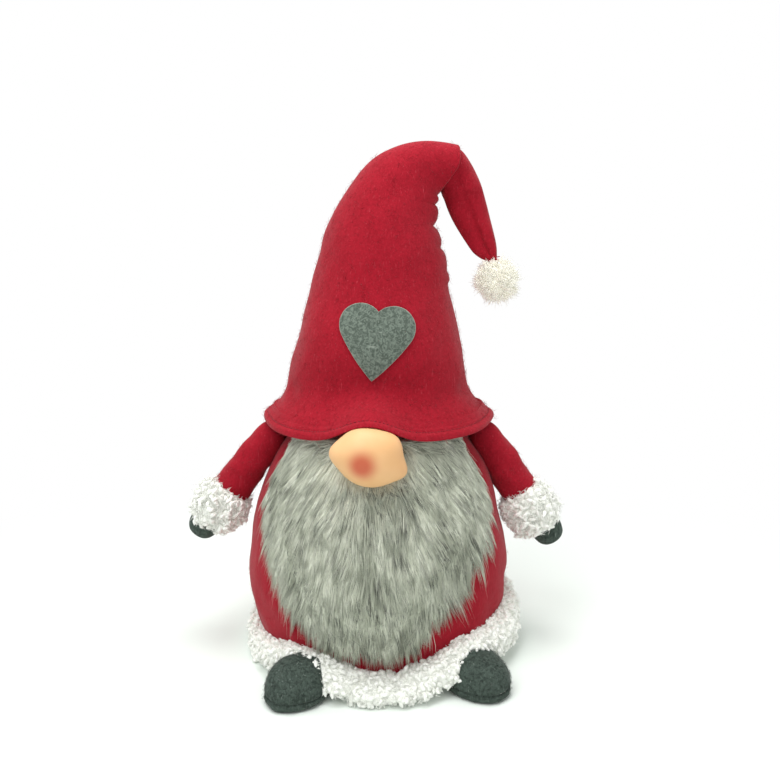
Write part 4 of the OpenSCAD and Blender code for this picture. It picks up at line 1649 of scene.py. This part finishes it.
@dataclass
class Pompom:
    """The fluffy ball and the red tie that holds it."""

    fibres: int = 6500
    radius: float = field(init=False)
    middle: Vector = field(init=False)

    def __post_init__(self) -> None:
        """Takes the ball's place and size from the frame."""
        low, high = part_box("pompom")
        self.middle = (low + high) / 2
        self.radius = (high.x - low.x) / 2

    def build(self) -> None:
        """Makes the ball's dense middle, its fibres and the tie's loose ends."""
        ball = start(bpy.ops.mesh.primitive_ico_sphere_add, "pompom_ball", subdivisions=5,
                     radius=self.radius * 0.84, location=self.middle)
        bpy.ops.object.transform_apply(location=True)
        shape(ball, self._lumps)
        # The ball under the fibres sits low in the fluff's painted shade.
        mark(ball, "along", np.full(len(ball.data.vertices), 0.3))
        smooth_shading(ball, 180)
        dress(ball, Fluff(), "bobble", ["pompom"])
        fluff = self._fluff(ball)
        dress(fluff, Fluff(), "bobble")
        tie = self._tie()
        dress(tie, TIE_THREAD, "bobble", ["pompom_thread"])
        carried("pompom_core", FILLING)

    def _lumps(self, points: Points) -> Points:
        """Makes the ball uneven.

        Args:
            points: The points in millimetres.

        Returns:
            The moved points.
        """
        middle = np.array(self.middle) / MM
        out = unit(points - middle)
        return points + out * (1.3 * ripple(points, 9, 51))[:, None]

    def _fluff(self, ball: bpy.types.Object) -> bpy.types.Object:
        """Sets bent fibres all over the ball, gathered in small tufts.

        Args:
            ball: The ball that they stand on.

        Returns:
            The fibres.
        """
        rng = np.random.default_rng(52)
        roots, ways = Surface(ball).scatter(self.fibres, rng, lambda p, n: np.ones(len(p)))
        seeds = roots[rng.choice(len(roots), 260, replace=False)]
        near = np.array([np.argmin(((seeds - root) ** 2).sum(axis=1)) for root in roots])
        tufts = unit(rng.normal(size=(len(seeds), 3)))[near]
        loose = unit(rng.normal(size=roots.shape))
        long = self.radius * rng.uniform(0.16, 0.36, len(roots))[:, None]
        wild = (rng.random(len(roots)) < 0.04)[:, None] * 0.35 * self.radius
        bend = unit(tufts * 0.8 + loose * 0.5)
        pull = (seeds[near] - roots) * 0.45
        paths = np.stack([roots - ways * 1.0 * MM,
                          roots + ways * long * 0.40 + bend * long * 0.10 + pull * 0.3,
                          roots + ways * (long + wild) * 0.70 + bend * long * 0.38 + pull * 0.7,
                          roots + ways * (long + wild) * 0.90 + bend * long * 0.75 + pull],
                         axis=1)
        widths = 0.30 * MM * rng.uniform(0.6, 1.2, len(roots))
        return HAIR_STRAND.field("pompom_fibres", paths, widths, ways)

    def _tie(self) -> bpy.types.Object:
        """Winds the red tie and leaves its short ends loose."""
        rng = np.random.default_rng(53)
        top = Vector((self.middle.x, 0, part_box("pompom_thread")[1].z))
        paths, widths = [], []
        for number in range(15):
            turn = 2 * math.pi * number / 15 + rng.uniform(-0.2, 0.2)
            out = Vector((math.cos(turn), math.sin(turn), 0))
            long = rng.uniform(5, 11) * MM
            foot = top + out * 1.6 * MM + Vector((-1.0 * MM, 0, -1.5 * MM))
            fall = Vector((0.25, -0.35, -1.0)).normalized()
            paths.append([foot, foot + out * long * 0.3 + fall * long * 0.25,
                          foot + out * long * 0.45 + fall * long * 0.6,
                          foot + out * long * 0.4 + fall * long])
            widths.append(0.42 * MM)
        for number in range(24):
            turn = 2 * math.pi * number / 12
            level = top + Vector((-0.6 * MM, 0, (1.5 - number * 0.28) * MM))
            ring = [level + Vector((math.cos(turn + step), math.sin(turn + step), 0)) * 3.3 * MM
                    for step in (0, 0.35, 0.7, 1.05)]
            paths.append(ring)
            widths.append(0.45 * MM)
        paths = np.array([[tuple(point) for point in path] for path in paths])
        up = np.tile((0.0, 0.0, 1.0), (len(paths), 1)) + 1e-3
        return HAIR_STRAND.field("pompom_tie", paths, np.array(widths), unit(up))


# ---- nose and beard -----------------------------------------------------------------


@dataclass
class Nose:
    """The stuffed nose: a soft lemon with a corner at each side."""

    half_wide: float = 26.5
    half_tall: float = 23.6
    half_deep: float = 22.0
    lift: float = 2.2
    corners_at: tuple[tuple[float, float, float], ...] = ((177, 5.2, 21), (-23, 5.6, 19),
                                                          (38, 2.8, 22))
    middle: Vector = field(init=False)

    def __post_init__(self) -> None:
        """Takes the nose's place from the frame."""
        low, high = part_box("nose_cover")
        self.middle = (low + high) / 2 + Vector((0, 0, self.lift * MM))

    def build(self) -> None:
        """Shapes the nose from a ball and dresses it."""
        nose = start(bpy.ops.mesh.primitive_uv_sphere_add, "nose", segments=64, ring_count=40,
                     radius=1, rotation=(math.radians(90), 0, 0))
        bpy.ops.object.transform_apply(rotation=True)
        shape(nose, self._lemon)
        subdivide(nose)
        smooth_shading(nose, 180)
        blush = self.middle + Vector((-5.2, -self.half_deep, -1.5)) * MM
        dress(nose, NoseJersey(blush_at=blush), "body",
              ["nose_cover", "nose_stuffing"])

    def _lemon(self, points: Points) -> Points:
        """Gives the ball its corners, its dip and its depth.

        Args:
            points: The points in millimetres.

        Returns:
            The moved points.
        """
        ball = points * MM
        out = np.hypot(ball[:, 0], ball[:, 2])
        angle = np.degrees(np.arctan2(ball[:, 2], ball[:, 0]))
        grow = np.ones(len(ball))
        across, tall = ball[:, 0] * self.half_wide, ball[:, 2] * self.half_tall
        reach = np.maximum(np.hypot(across, tall), 1e-6)
        for middle, height, spread in self.corners_at:
            grow += height * hump(turned(angle, middle), 0, spread) * out ** 3 / reach
        dip = -2.0 * ball[:, 0]
        deep = np.sign(ball[:, 1]) * np.abs(ball[:, 1]) ** 0.94 * self.half_deep
        made = np.stack([across * grow, deep, tall * grow + dip + 1.0], axis=1)
        return made + np.array(self.middle) / MM


@dataclass
class Beard:
    """The faux-fur beard: a dense undercoat and long hairs gathered in locks."""

    body: Body
    fields: int = 4
    hairs_each: int = 12000
    locks: int = 2100
    flow_from: tuple[float, float] = (-5.0, 256.0)
    hair_length: float = 46.0
    hair_radius: float = 0.235
    undercoat_share: float = 0.80
    notch_at: float = 66.0
    stray_share: float = 0.07
    stray_length: float = 0.4
    pile: float = 6.0

    def build(self) -> None:
        """Makes the undercoat and the fields of hair."""
        coat = copy_of("beard", "beard_undercoat", 3.5 * MM)
        shape(coat, self._thin)
        relax(coat, 6)
        smooth_shading(coat, 180)
        dress(coat, Undercoat(), "body", ["beard", "beard_backing"])
        rng = np.random.default_rng(61)
        ground = Surface(coat, self.body.skin)
        guides = self._lay(*Surface(coat).scatter(self.locks, rng, self._outer), rng, ground, 1.1)
        for number in range(self.fields):
            roots, ways = Surface(coat).scatter(self.hairs_each, rng, self._outer)
            self._field(f"beard_hair_{number + 1}", roots, ways, guides, ground, rng)

    def _thin(self, points: Points) -> Points:
        """Draws the outline in and thins the fur to its undercoat.

        Args:
            points: The points in millimetres.

        Returns:
            The moved points.
        """
        angle = np.arctan2(points[:, 1], points[:, 0])
        front = -math.pi / 2
        height = points[:, 2]
        above = np.hypot(points[:, 0], points[:, 1]) - self.body.radius_at(height)
        tall = 204 - (204 - height) * self.undercoat_share
        notch = np.where(height > self.notch_at, hump(height, self.notch_at, 30), 1)
        notch = 0.24 * notch * np.clip(points[:, 0] / 20, 0, 1)
        aside = front + (angle - front) * self.undercoat_share * (1 - notch)
        above = np.where(above > 3, np.maximum(above - self.pile, 1.5), above)
        reach = self.body.radius_at(tall) + above
        return np.stack([reach * np.cos(aside), reach * np.sin(aside), tall], axis=1)

    @staticmethod
    def _outer(points: Points, ways: Points) -> Points:
        """Keeps hairs to the outer side, thicker towards the outline.

        Args:
            points: The roots in millimetres.
            ways: The outward directions there.

        Returns:
            How likely a hair is at each root.
        """
        outward = (unit(points * (1, 1, 0)) * ways).sum(axis=1)
        rim = np.clip(np.abs(points[:, 0]) / 110, 0, 1) ** 2 + np.clip((80 - points[:, 2]) / 50, 0, 1)
        return (outward > -0.2) * (0.55 + 0.45 * np.clip(rim, 0, 1))

    def _lay(self, roots: Points, ways: Points, rng: np.random.Generator, ground: Surface,
             stretch: float) -> Points:
        """Combs hairs outwards from above the nose and lays them on what is below.

        Args:
            roots: The hairs' roots in metres.
            ways: The outward directions there.
            rng: The source of chance.
            ground: The undercoat and the body.
            stretch: The hairs' length against the usual one.

        Returns:
            Four points for each hair.
        """
        fan = np.stack([roots[:, 0] / MM - self.flow_from[0], np.zeros(len(roots)),
                        roots[:, 2] / MM - self.flow_from[1]], axis=1)
        fan = unit(fan) + np.stack([0.16 * ripple(roots / MM, 45, 62), 0 * roots[:, 0],
                                    0 * roots[:, 0]], axis=1)
        fan += np.stack([0.13 * ripple(roots / MM, 17, 63), 0 * roots[:, 0],
                         0.1 * ripple(roots / MM, 20, 64)], axis=1)
        fan += rng.normal(scale=0.07, size=fan.shape)
        flow = unit(fan - ways * (fan * ways).sum(axis=1, keepdims=True))
        long = self.hair_length * stretch * rng.uniform(0.72, 1.15, len(roots)) * MM
        long *= np.where(roots[:, 2] / MM > 150, 0.85, 1.0)
        long *= 1 + self.stray_length * (rng.random(len(roots)) < self.stray_share)
        clear = [0.0, 2.4, 3.4, 2.2]
        loose = rng.uniform(0, 1, len(roots)) ** 1.5 * (1.9 if stretch > 1 else 1.0)
        path = [roots - ways * 1.0 * MM]
        for level, height in zip(HAIR_STRAND.levels[1:], clear[1:]):
            point = roots + flow * (long * level)[:, None]
            reach = ground.under(point) + (height + 2.6 * loose * level) * MM
            out = unit(point * (1, 1, 0)) * reach[:, None]
            path.append(out + point * (0, 0, 1))
        return np.stack(path, axis=1)

    def _field(self, name: str, roots: Points, ways: Points, guides: Points,
               ground: Surface, rng: np.random.Generator) -> None:
        """Makes one field of hair, gathered towards the guides of its locks.

        Args:
            name: The new piece's name.
            roots: The hairs' roots in metres.
            ways: The outward directions there.
            guides: The middle hair of each lock.
            ground: The undercoat and the body.
            rng: The source of chance.
        """
        paths = self._lay(roots, ways, rng, ground, 1.0)
        near = np.empty(len(roots), dtype=int)
        for chunk in np.array_split(np.arange(len(roots)), 12):
            gaps = ((roots[chunk, None] - guides[None, :, 0]) ** 2).sum(axis=2)
            near[chunk] = gaps.argmin(axis=1)
        gather = np.array([0.0, 0.34, 0.68, 0.90]) * rng.uniform(0.5, 1.05, (len(roots), 1))
        gather *= np.where(rng.random((len(roots), 1)) < 0.14, 0.3, 1.0)
        paths += (guides[near] - paths) * gather[..., None]
        tone = np.clip(0.62 + 0.26 * np.sin(near * 7.13) + rng.normal(scale=0.2, size=len(near)),
                       0, 1)
        aside = roots - guides[near, 0]
        sector = np.floor(np.arctan2(aside[:, 2], aside[:, 0]) / 1.1 + 3).astype(int)
        streaky = (np.sin((near * 7 + sector) * 12.9898) * 43758.5453) % 1
        chance = rng.random(len(roots))
        dark = (streaky < 0.31) & (chance < 0.9) | (chance < 0.07)
        level = np.where((near * 3) % 5 < 2, 1, 2)
        streak = np.zeros((len(roots), 4))
        streak[np.arange(len(roots)), level] = dark * rng.uniform(0.7, 1.0, len(roots))
        tips = dark & ((near * 7) % 4 == 0)
        streak[:, 3] = tips * 0.9
        widths = self.hair_radius * MM * rng.uniform(0.6, 1.2, len(roots))
        hair = HAIR_STRAND.field(name, paths, widths, ways, 0.7)
        mark(hair, "tone", HAIR_STRAND.spread(tone))
        mark(hair, "streak", HAIR_STRAND.spread(streak))
        dress(hair, HAIR, "body")


# ---- arms and boots --------------------------------------------------------------


@dataclass
class Arm:
    """One sewn arm: felt sleeve, sherpa cuff and felt hand."""

    side: Side
    angle: float
    bow: float
    hand_out: float
    sleeve_length: float = 73.0
    pivot: Vector = field(init=False)

    def __post_init__(self) -> None:
        """Takes the shoulder's place from the frame."""
        low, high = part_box(f"shoulder_tab_{self.side.label}")
        inner = min(abs(low.x), abs(high.x)) + 9.4 * MM
        self.pivot = Vector((self.side.value * inner, (low.y + high.y) / 2, (low.z + high.z) / 2))

    @property
    def direction(self) -> Vector:
        """The direction down the arm."""
        turn = math.radians(self.angle)
        return Vector((self.side.value * math.sin(turn), 0, -math.cos(turn)))

    def build(self) -> None:
        """Makes the sleeve, the cuff and the hand."""
        label, arm = self.side.label, f"{self.side.label}_arm"
        self._build_sleeve(label, arm)
        self._build_cuff(label, arm)
        self._build_hand(label, arm)
        carried(f"arm_stuffing_{label}", FILLING)
        carried(f"mitten_stuffing_{label}", FILLING)
        carried(f"shoulder_tab_{label}", RED_FELT)

    def _build_sleeve(self, label: str, arm: str) -> None:
        """Lofts the sleeve down from the shoulder and hangs it at the arm's angle.

        Args:
            label: Left or right, as the pieces' names say it.
            arm: The body that it rides on.
        """
        outline = [(-13, 7.5, 8), (-9, 12, 12.5), (-1, 14.6, 14.2), (10, 15.4, 14.8),
                   (24, 16.2, 15.3), (40, 17.0, 15.8), (56, 17.4, 16.2), (68, 17.0, 16.2),
                   (self.sleeve_length, 14.6, 14.6)]
        out = self.bow * self.side.value
        rings = between([Ring(out * math.sin(math.pi * max(0, down) / self.sleeve_length),
                              -down, wide, deep) for down, wide, deep in outline], 3)
        rings = [Ring(0, 14.5, 2, 2), *rings, Ring(0, -self.sleeve_length - 1, 5, 5)]
        sleeve = loft(f"sleeve_felt_{label}", rings, 48, close_first=True, close_last=True)
        shape(sleeve, self._wrinkle)
        self._hang(sleeve)
        subdivide(sleeve)
        smooth_shading(sleeve, 70)
        dress(sleeve, RED_FELT, None, [f"sleeve_{label}"])
        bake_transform(sleeve)
        nap = Nap(4.5 * MM, 0.08 * MM).grow(
            f"sleeve_nap_{label}", sleeve, 420, 71 + self.side.value,
            lambda p, n: np.linalg.norm(p - np.array(self.pivot) / MM, axis=1) > 26)
        dress(nap, RED_FELT, arm)

    def _wrinkle(self, points: Points) -> Points:
        """Adds soft wrinkles round the sleeve and its seam.

        Args:
            points: The points in millimetres.

        Returns:
            The moved points.
        """
        angle = np.degrees(np.arctan2(points[:, 1], points[:, 0]))
        fade = hump(points[:, 2], -34, 30)
        push = 0.8 * ripple(points * (1, 1, 2.2), 26, 72 + self.side.value) * fade
        push -= 0.9 * hump(turned(angle, 90), 0, 6) * fade
        push -= 1.2 * np.exp(-np.abs(points[:, 2] + 63) / 2.0)
        return points + unit(points * (1, 1, 0)) * push[:, None]

    def _hang(self, piece: bpy.types.Object) -> None:
        """Turns a piece that points down to the arm's angle, at its shoulder.

        Args:
            piece: The piece to hang.
        """
        turn = Matrix.Rotation(math.radians(-self.angle * self.side.value), 4, "Y")
        piece.data.transform(Matrix.Translation(self.pivot) @ turn)
        piece.data.update()

    def _build_cuff(self, label: str, arm: str) -> None:
        """Makes the cuff and its tufts.

        Args:
            label: Left or right, as the pieces' names say it.
            arm: The body that it rides on.
        """
        cuff = copy_of(f"cuff_{label}", f"cuff_band_{label}", 1.8 * MM)
        relax(cuff, 6)
        middle = np.array(self.pivot + self.direction * 76 * MM) / MM
        way = np.array(self.direction)

        def outward(points: Points) -> Points:
            """Points away from the arm's line."""
            rest = points - middle
            return unit(rest - way * (rest @ way)[:, None])

        def swell(points: Points) -> Points:
            """Makes the cuff uneven."""
            return points + outward(points) * (-1.0 + 1.2 * ripple(points, 13, 74))[:, None]

        def outside(points: Points, ways: Points) -> Points:
            """Keeps tufts off the cuff's hollow."""
            reach = np.linalg.norm(np.cross(points - middle, way), axis=1)
            return (reach > 14.5) & ((outward(points) * ways).sum(axis=1) > -0.3)

        shape(cuff, swell)
        fleece(cuff, 210, 2.8, 73)
        smooth_shading(cuff, 180)
        dress(cuff, SHERPA, arm, [f"cuff_{label}"])
        seed = 75 + self.side.value
        tufts = Curls(9.0 * MM, 1.8 * MM, 0.6, 0.8).grow(f"cuff_tufts_{label}", cuff, 360, seed,
                                                        outside)
        dress(tufts, SHERPA, arm)
        locks = Curls(9.0 * MM, 0.28 * MM, 0.3, 0.8).grow(f"cuff_locks_{label}", cuff, 3000,
                                                   seed + 5, outside, HAIR_STRAND)
        dress(locks, SHERPA, arm)

    def _build_hand(self, label: str, arm: str) -> None:
        """Makes the felt hand with its side seam.

        Args:
            label: Left or right, as the pieces' names say it.
            arm: The body that it rides on.
        """
        hand = copy_of(f"mitten_{label}", f"hand_{label}", 2.0 * MM)
        self._drop_hollow(hand)
        relax(hand, 4)
        Stuffing(cap=1.2 * MM).fill(hand)
        middle = np.array(self.pivot + self.direction * 100 * MM) / MM

        def seam(points: Points) -> Points:
            """Presses a seam round the hand's edge."""
            inward = unit(middle - points)
            return points + inward * (0.9 * hump(points[:, 1] - middle[1], 0, 0.9))[:, None]

        subdivide(hand)
        shape(hand, seam)
        step = np.array(self.direction) + (0.45 * self.side.value, 0, 0)
        shape(hand, lambda points: points + unit(step[None]) * self.hand_out)
        smooth_shading(hand, 180)
        dress(hand, CHARCOAL_FELT, arm, [f"mitten_{label}"])

    @staticmethod
    def _drop_hollow(piece: bpy.types.Object) -> None:
        """Deletes the inner of a shell's two skins, so that one closed skin is left."""
        keep_outer_skin(piece)


def keep_outer_skin(piece: bpy.types.Object) -> None:
    """Deletes every loose part of a mesh but the largest.

    Args:
        piece: The piece whose inner skins go.
    """
    mesh = piece.data
    parent = np.arange(len(mesh.vertices))
    pairs = np.empty(len(mesh.edges) * 2, dtype=np.int32)
    mesh.edges.foreach_get("vertices", pairs)
    pairs = pairs.reshape(-1, 2)
    while True:
        low = parent[pairs].min(axis=1)
        fresh = parent.copy()
        np.minimum.at(fresh, pairs[:, 0], low)
        np.minimum.at(fresh, pairs[:, 1], low)
        fresh = fresh[fresh]
        if (fresh == parent).all():
            break
        parent = fresh
    points = corners(piece)
    sizes = {root: np.ptp(points[parent == root], axis=0).sum() for root in np.unique(parent)}
    largest = max(sizes, key=sizes.get)
    pick(piece)
    for vertex, root in zip(mesh.vertices, parent):
        vertex.select = bool(root != largest)
    bpy.ops.object.mode_set(mode="EDIT")
    bpy.ops.mesh.select_mode(type="VERT")
    bpy.ops.mesh.delete(type="VERT")
    bpy.ops.object.mode_set(mode="OBJECT")


@dataclass
class Boot:
    """One stuffed felt boot with a sewn-on sole."""

    side: Side
    angle: float
    middle_radius: float = 134.0
    half_long: float = 32.0
    half_wide: float = 25.0
    height: float = 31.0
    seam_up: float = 7.0

    def build(self) -> None:
        """Shapes the boot from rings and dresses it."""
        label = self.side.label
        profile = [(0.3, 0.80), (0.8, 0.90), (2.2, 0.965), (4.5, 1.0), (6.2, 0.99), (7.0, 0.97),
                   (7.8, 0.985), (11, 1.0), (16, 0.975), (21, 0.90), (25, 0.78), (28, 0.60),
                   (30, 0.40), (self.height, 0.16)]
        rings = [Ring(-4 * z / self.height, z, self.half_long * s, self.half_wide * s)
                 for z, s in profile]
        flat = Ring(0, 0.3, self.half_long * 0.45, self.half_wide * 0.45)
        boot = loft(f"boot_{label}", [Ring(0, 0.3, 2, 2), flat, *between(rings, 2),
                                      Ring(-4, self.height + 0.2, 1, 1)], 72,
                    close_first=True, close_last=True)
        shape(boot, self._foot)
        Stuffing(cap=1.0 * MM).fill(boot)
        shape(boot, self._settle)
        subdivide(boot)
        smooth_shading(boot, 70)
        dress(boot, CHARCOAL_FELT, "body",
              [f"boot_upper_{label}", f"boot_sole_{label}"])
        nap = Nap(3.2 * MM, 0.09 * MM).grow(f"boot_nap_{label}", boot, 1500,
                                            81 + self.side.value, lambda p, n: p[:, 2] > 3)
        dress(nap, CHARCOAL_FELT, "body")
        carried(f"boot_stuffing_{label}", FILLING)

    def _foot(self, points: Points) -> Points:
        """Squares the toe a little, presses the seam in and turns the boot out.

        Args:
            points: The points in millimetres.

        Returns:
            The moved points.
        """
        x, y, z = points.T
        seam = np.exp(-np.abs(z - self.seam_up) / 0.8)
        middle = unit(points * (1, 1, 0))
        gather = 0.5 * np.sin(np.arctan2(y, x) * 26) * hump(z, self.seam_up, 4)
        points = points + middle * (gather - 1.0 * seam)[:, None]
        points = points + middle * (0.5 * ripple(points, 19, 82 + self.side.value))[:, None]
        turn = math.radians(self.angle)
        out = points[:, 0] + self.middle_radius
        return np.stack([out * math.cos(turn) - points[:, 1] * math.sin(turn),
                         out * math.sin(turn) + points[:, 1] * math.cos(turn),
                         points[:, 2]], axis=1)

    @staticmethod
    def _settle(points: Points) -> Points:
        """Keeps the sole on the floor."""
        return np.stack([points[:, 0], points[:, 1], np.maximum(points[:, 2], 0.2)], axis=1)


# ---- the studio --------------------------------------------------------------------


@dataclass
class Studio:
    """A pale floor, a white surround, soft lights and the camera."""

    camera_at: tuple[float, float, float] = (11.3, -730.0, 340.0)
    look_down: float = 8.4
    lens: float = 37.34
    surround: float = 0.56

    def build(self) -> None:
        """Sets up the floor, the surround, the lights and the camera."""
        floor = start(bpy.ops.mesh.primitive_plane_add, "floor", size=9)
        floor.data.materials.append(dyed(Floor()))
        world = bpy.data.worlds.new("surround")
        bpy.context.scene.world = world
        world.use_nodes = True
        nodes, links = world.node_tree.nodes, world.node_tree.links
        glow = nodes["Background"]
        glow.inputs["Color"].default_value = (1.0, 1.0, 1.0, 1.0)
        glow.inputs["Strength"].default_value = self.surround
        white = nodes.new("ShaderNodeBackground")
        white.inputs["Color"].default_value = (1.0, 1.0, 1.0, 1.0)
        seen = nodes.new("ShaderNodeLightPath")
        both = nodes.new("ShaderNodeMixShader")
        links.new(seen.outputs["Is Camera Ray"], both.inputs[0])
        links.new(glow.outputs[0], both.inputs[1])
        links.new(white.outputs[0], both.inputs[2])
        links.new(both.outputs[0], nodes["World Output"].inputs["Surface"])
        self._light("key", (-0.60, -0.95, 1.60), 0.9, 13)
        self._light("fill", (1.1, -0.9, 0.9), 1.2, 2)
        self._light("top", (-0.05, 0.0, 1.7), 1.0, 17)
        bpy.context.scene.view_settings.view_transform = "Standard"
        bpy.ops.object.select_all(action="DESELECT")
        bpy.ops.object.camera_add(location=[c * MM for c in self.camera_at],
                                  rotation=(math.radians(90 - self.look_down), 0, 0))
        camera = bpy.context.object
        camera.name = "camera"
        camera.data.sensor_width = 36
        camera.data.lens = self.lens
        camera.data.clip_start = 0.01
        bpy.context.scene.camera = camera

    @staticmethod
    def _light(name: str, place: tuple[float, float, float], size: float, power: float) -> None:
        """Adds a large soft light that points at the figure's middle.

        Args:
            name: The light's name.
            place: Its place in metres.
            size: Its side in metres.
            power: Its power in watts.
        """
        bpy.ops.object.select_all(action="DESELECT")
        bpy.ops.object.light_add(type="AREA", location=place)
        lamp = bpy.context.object
        lamp.name = name
        lamp.data.size = size
        lamp.data.energy = power
        aim = Vector((0, 0, 0.22)) - Vector(place)
        lamp.rotation_euler = aim.to_track_quat("-Z", "Y").to_euler()


def main() -> None:
    """Builds every sub-assembly in order."""
    logging.basicConfig(level=logging.INFO, format="%(name)s: %(message)s")
    Studio().build()
    body = Body()
    body.build()
    Hem(body).build()
    hat = Hat()
    hat.build()
    Heart().build(hat.crown)
    Pompom().build()
    Nose().build()
    Beard(body).build()
    Arm(Side.LEFT, 33.0, bow=0.5, hand_out=7.0).build()
    Arm(Side.RIGHT, 37.0, bow=0.5, hand_out=4.0).build()
    Boot(Side.LEFT, -52.0).build()
    Boot(Side.RIGHT, -118.0).build()


if __name__ == "__main__":
    main()
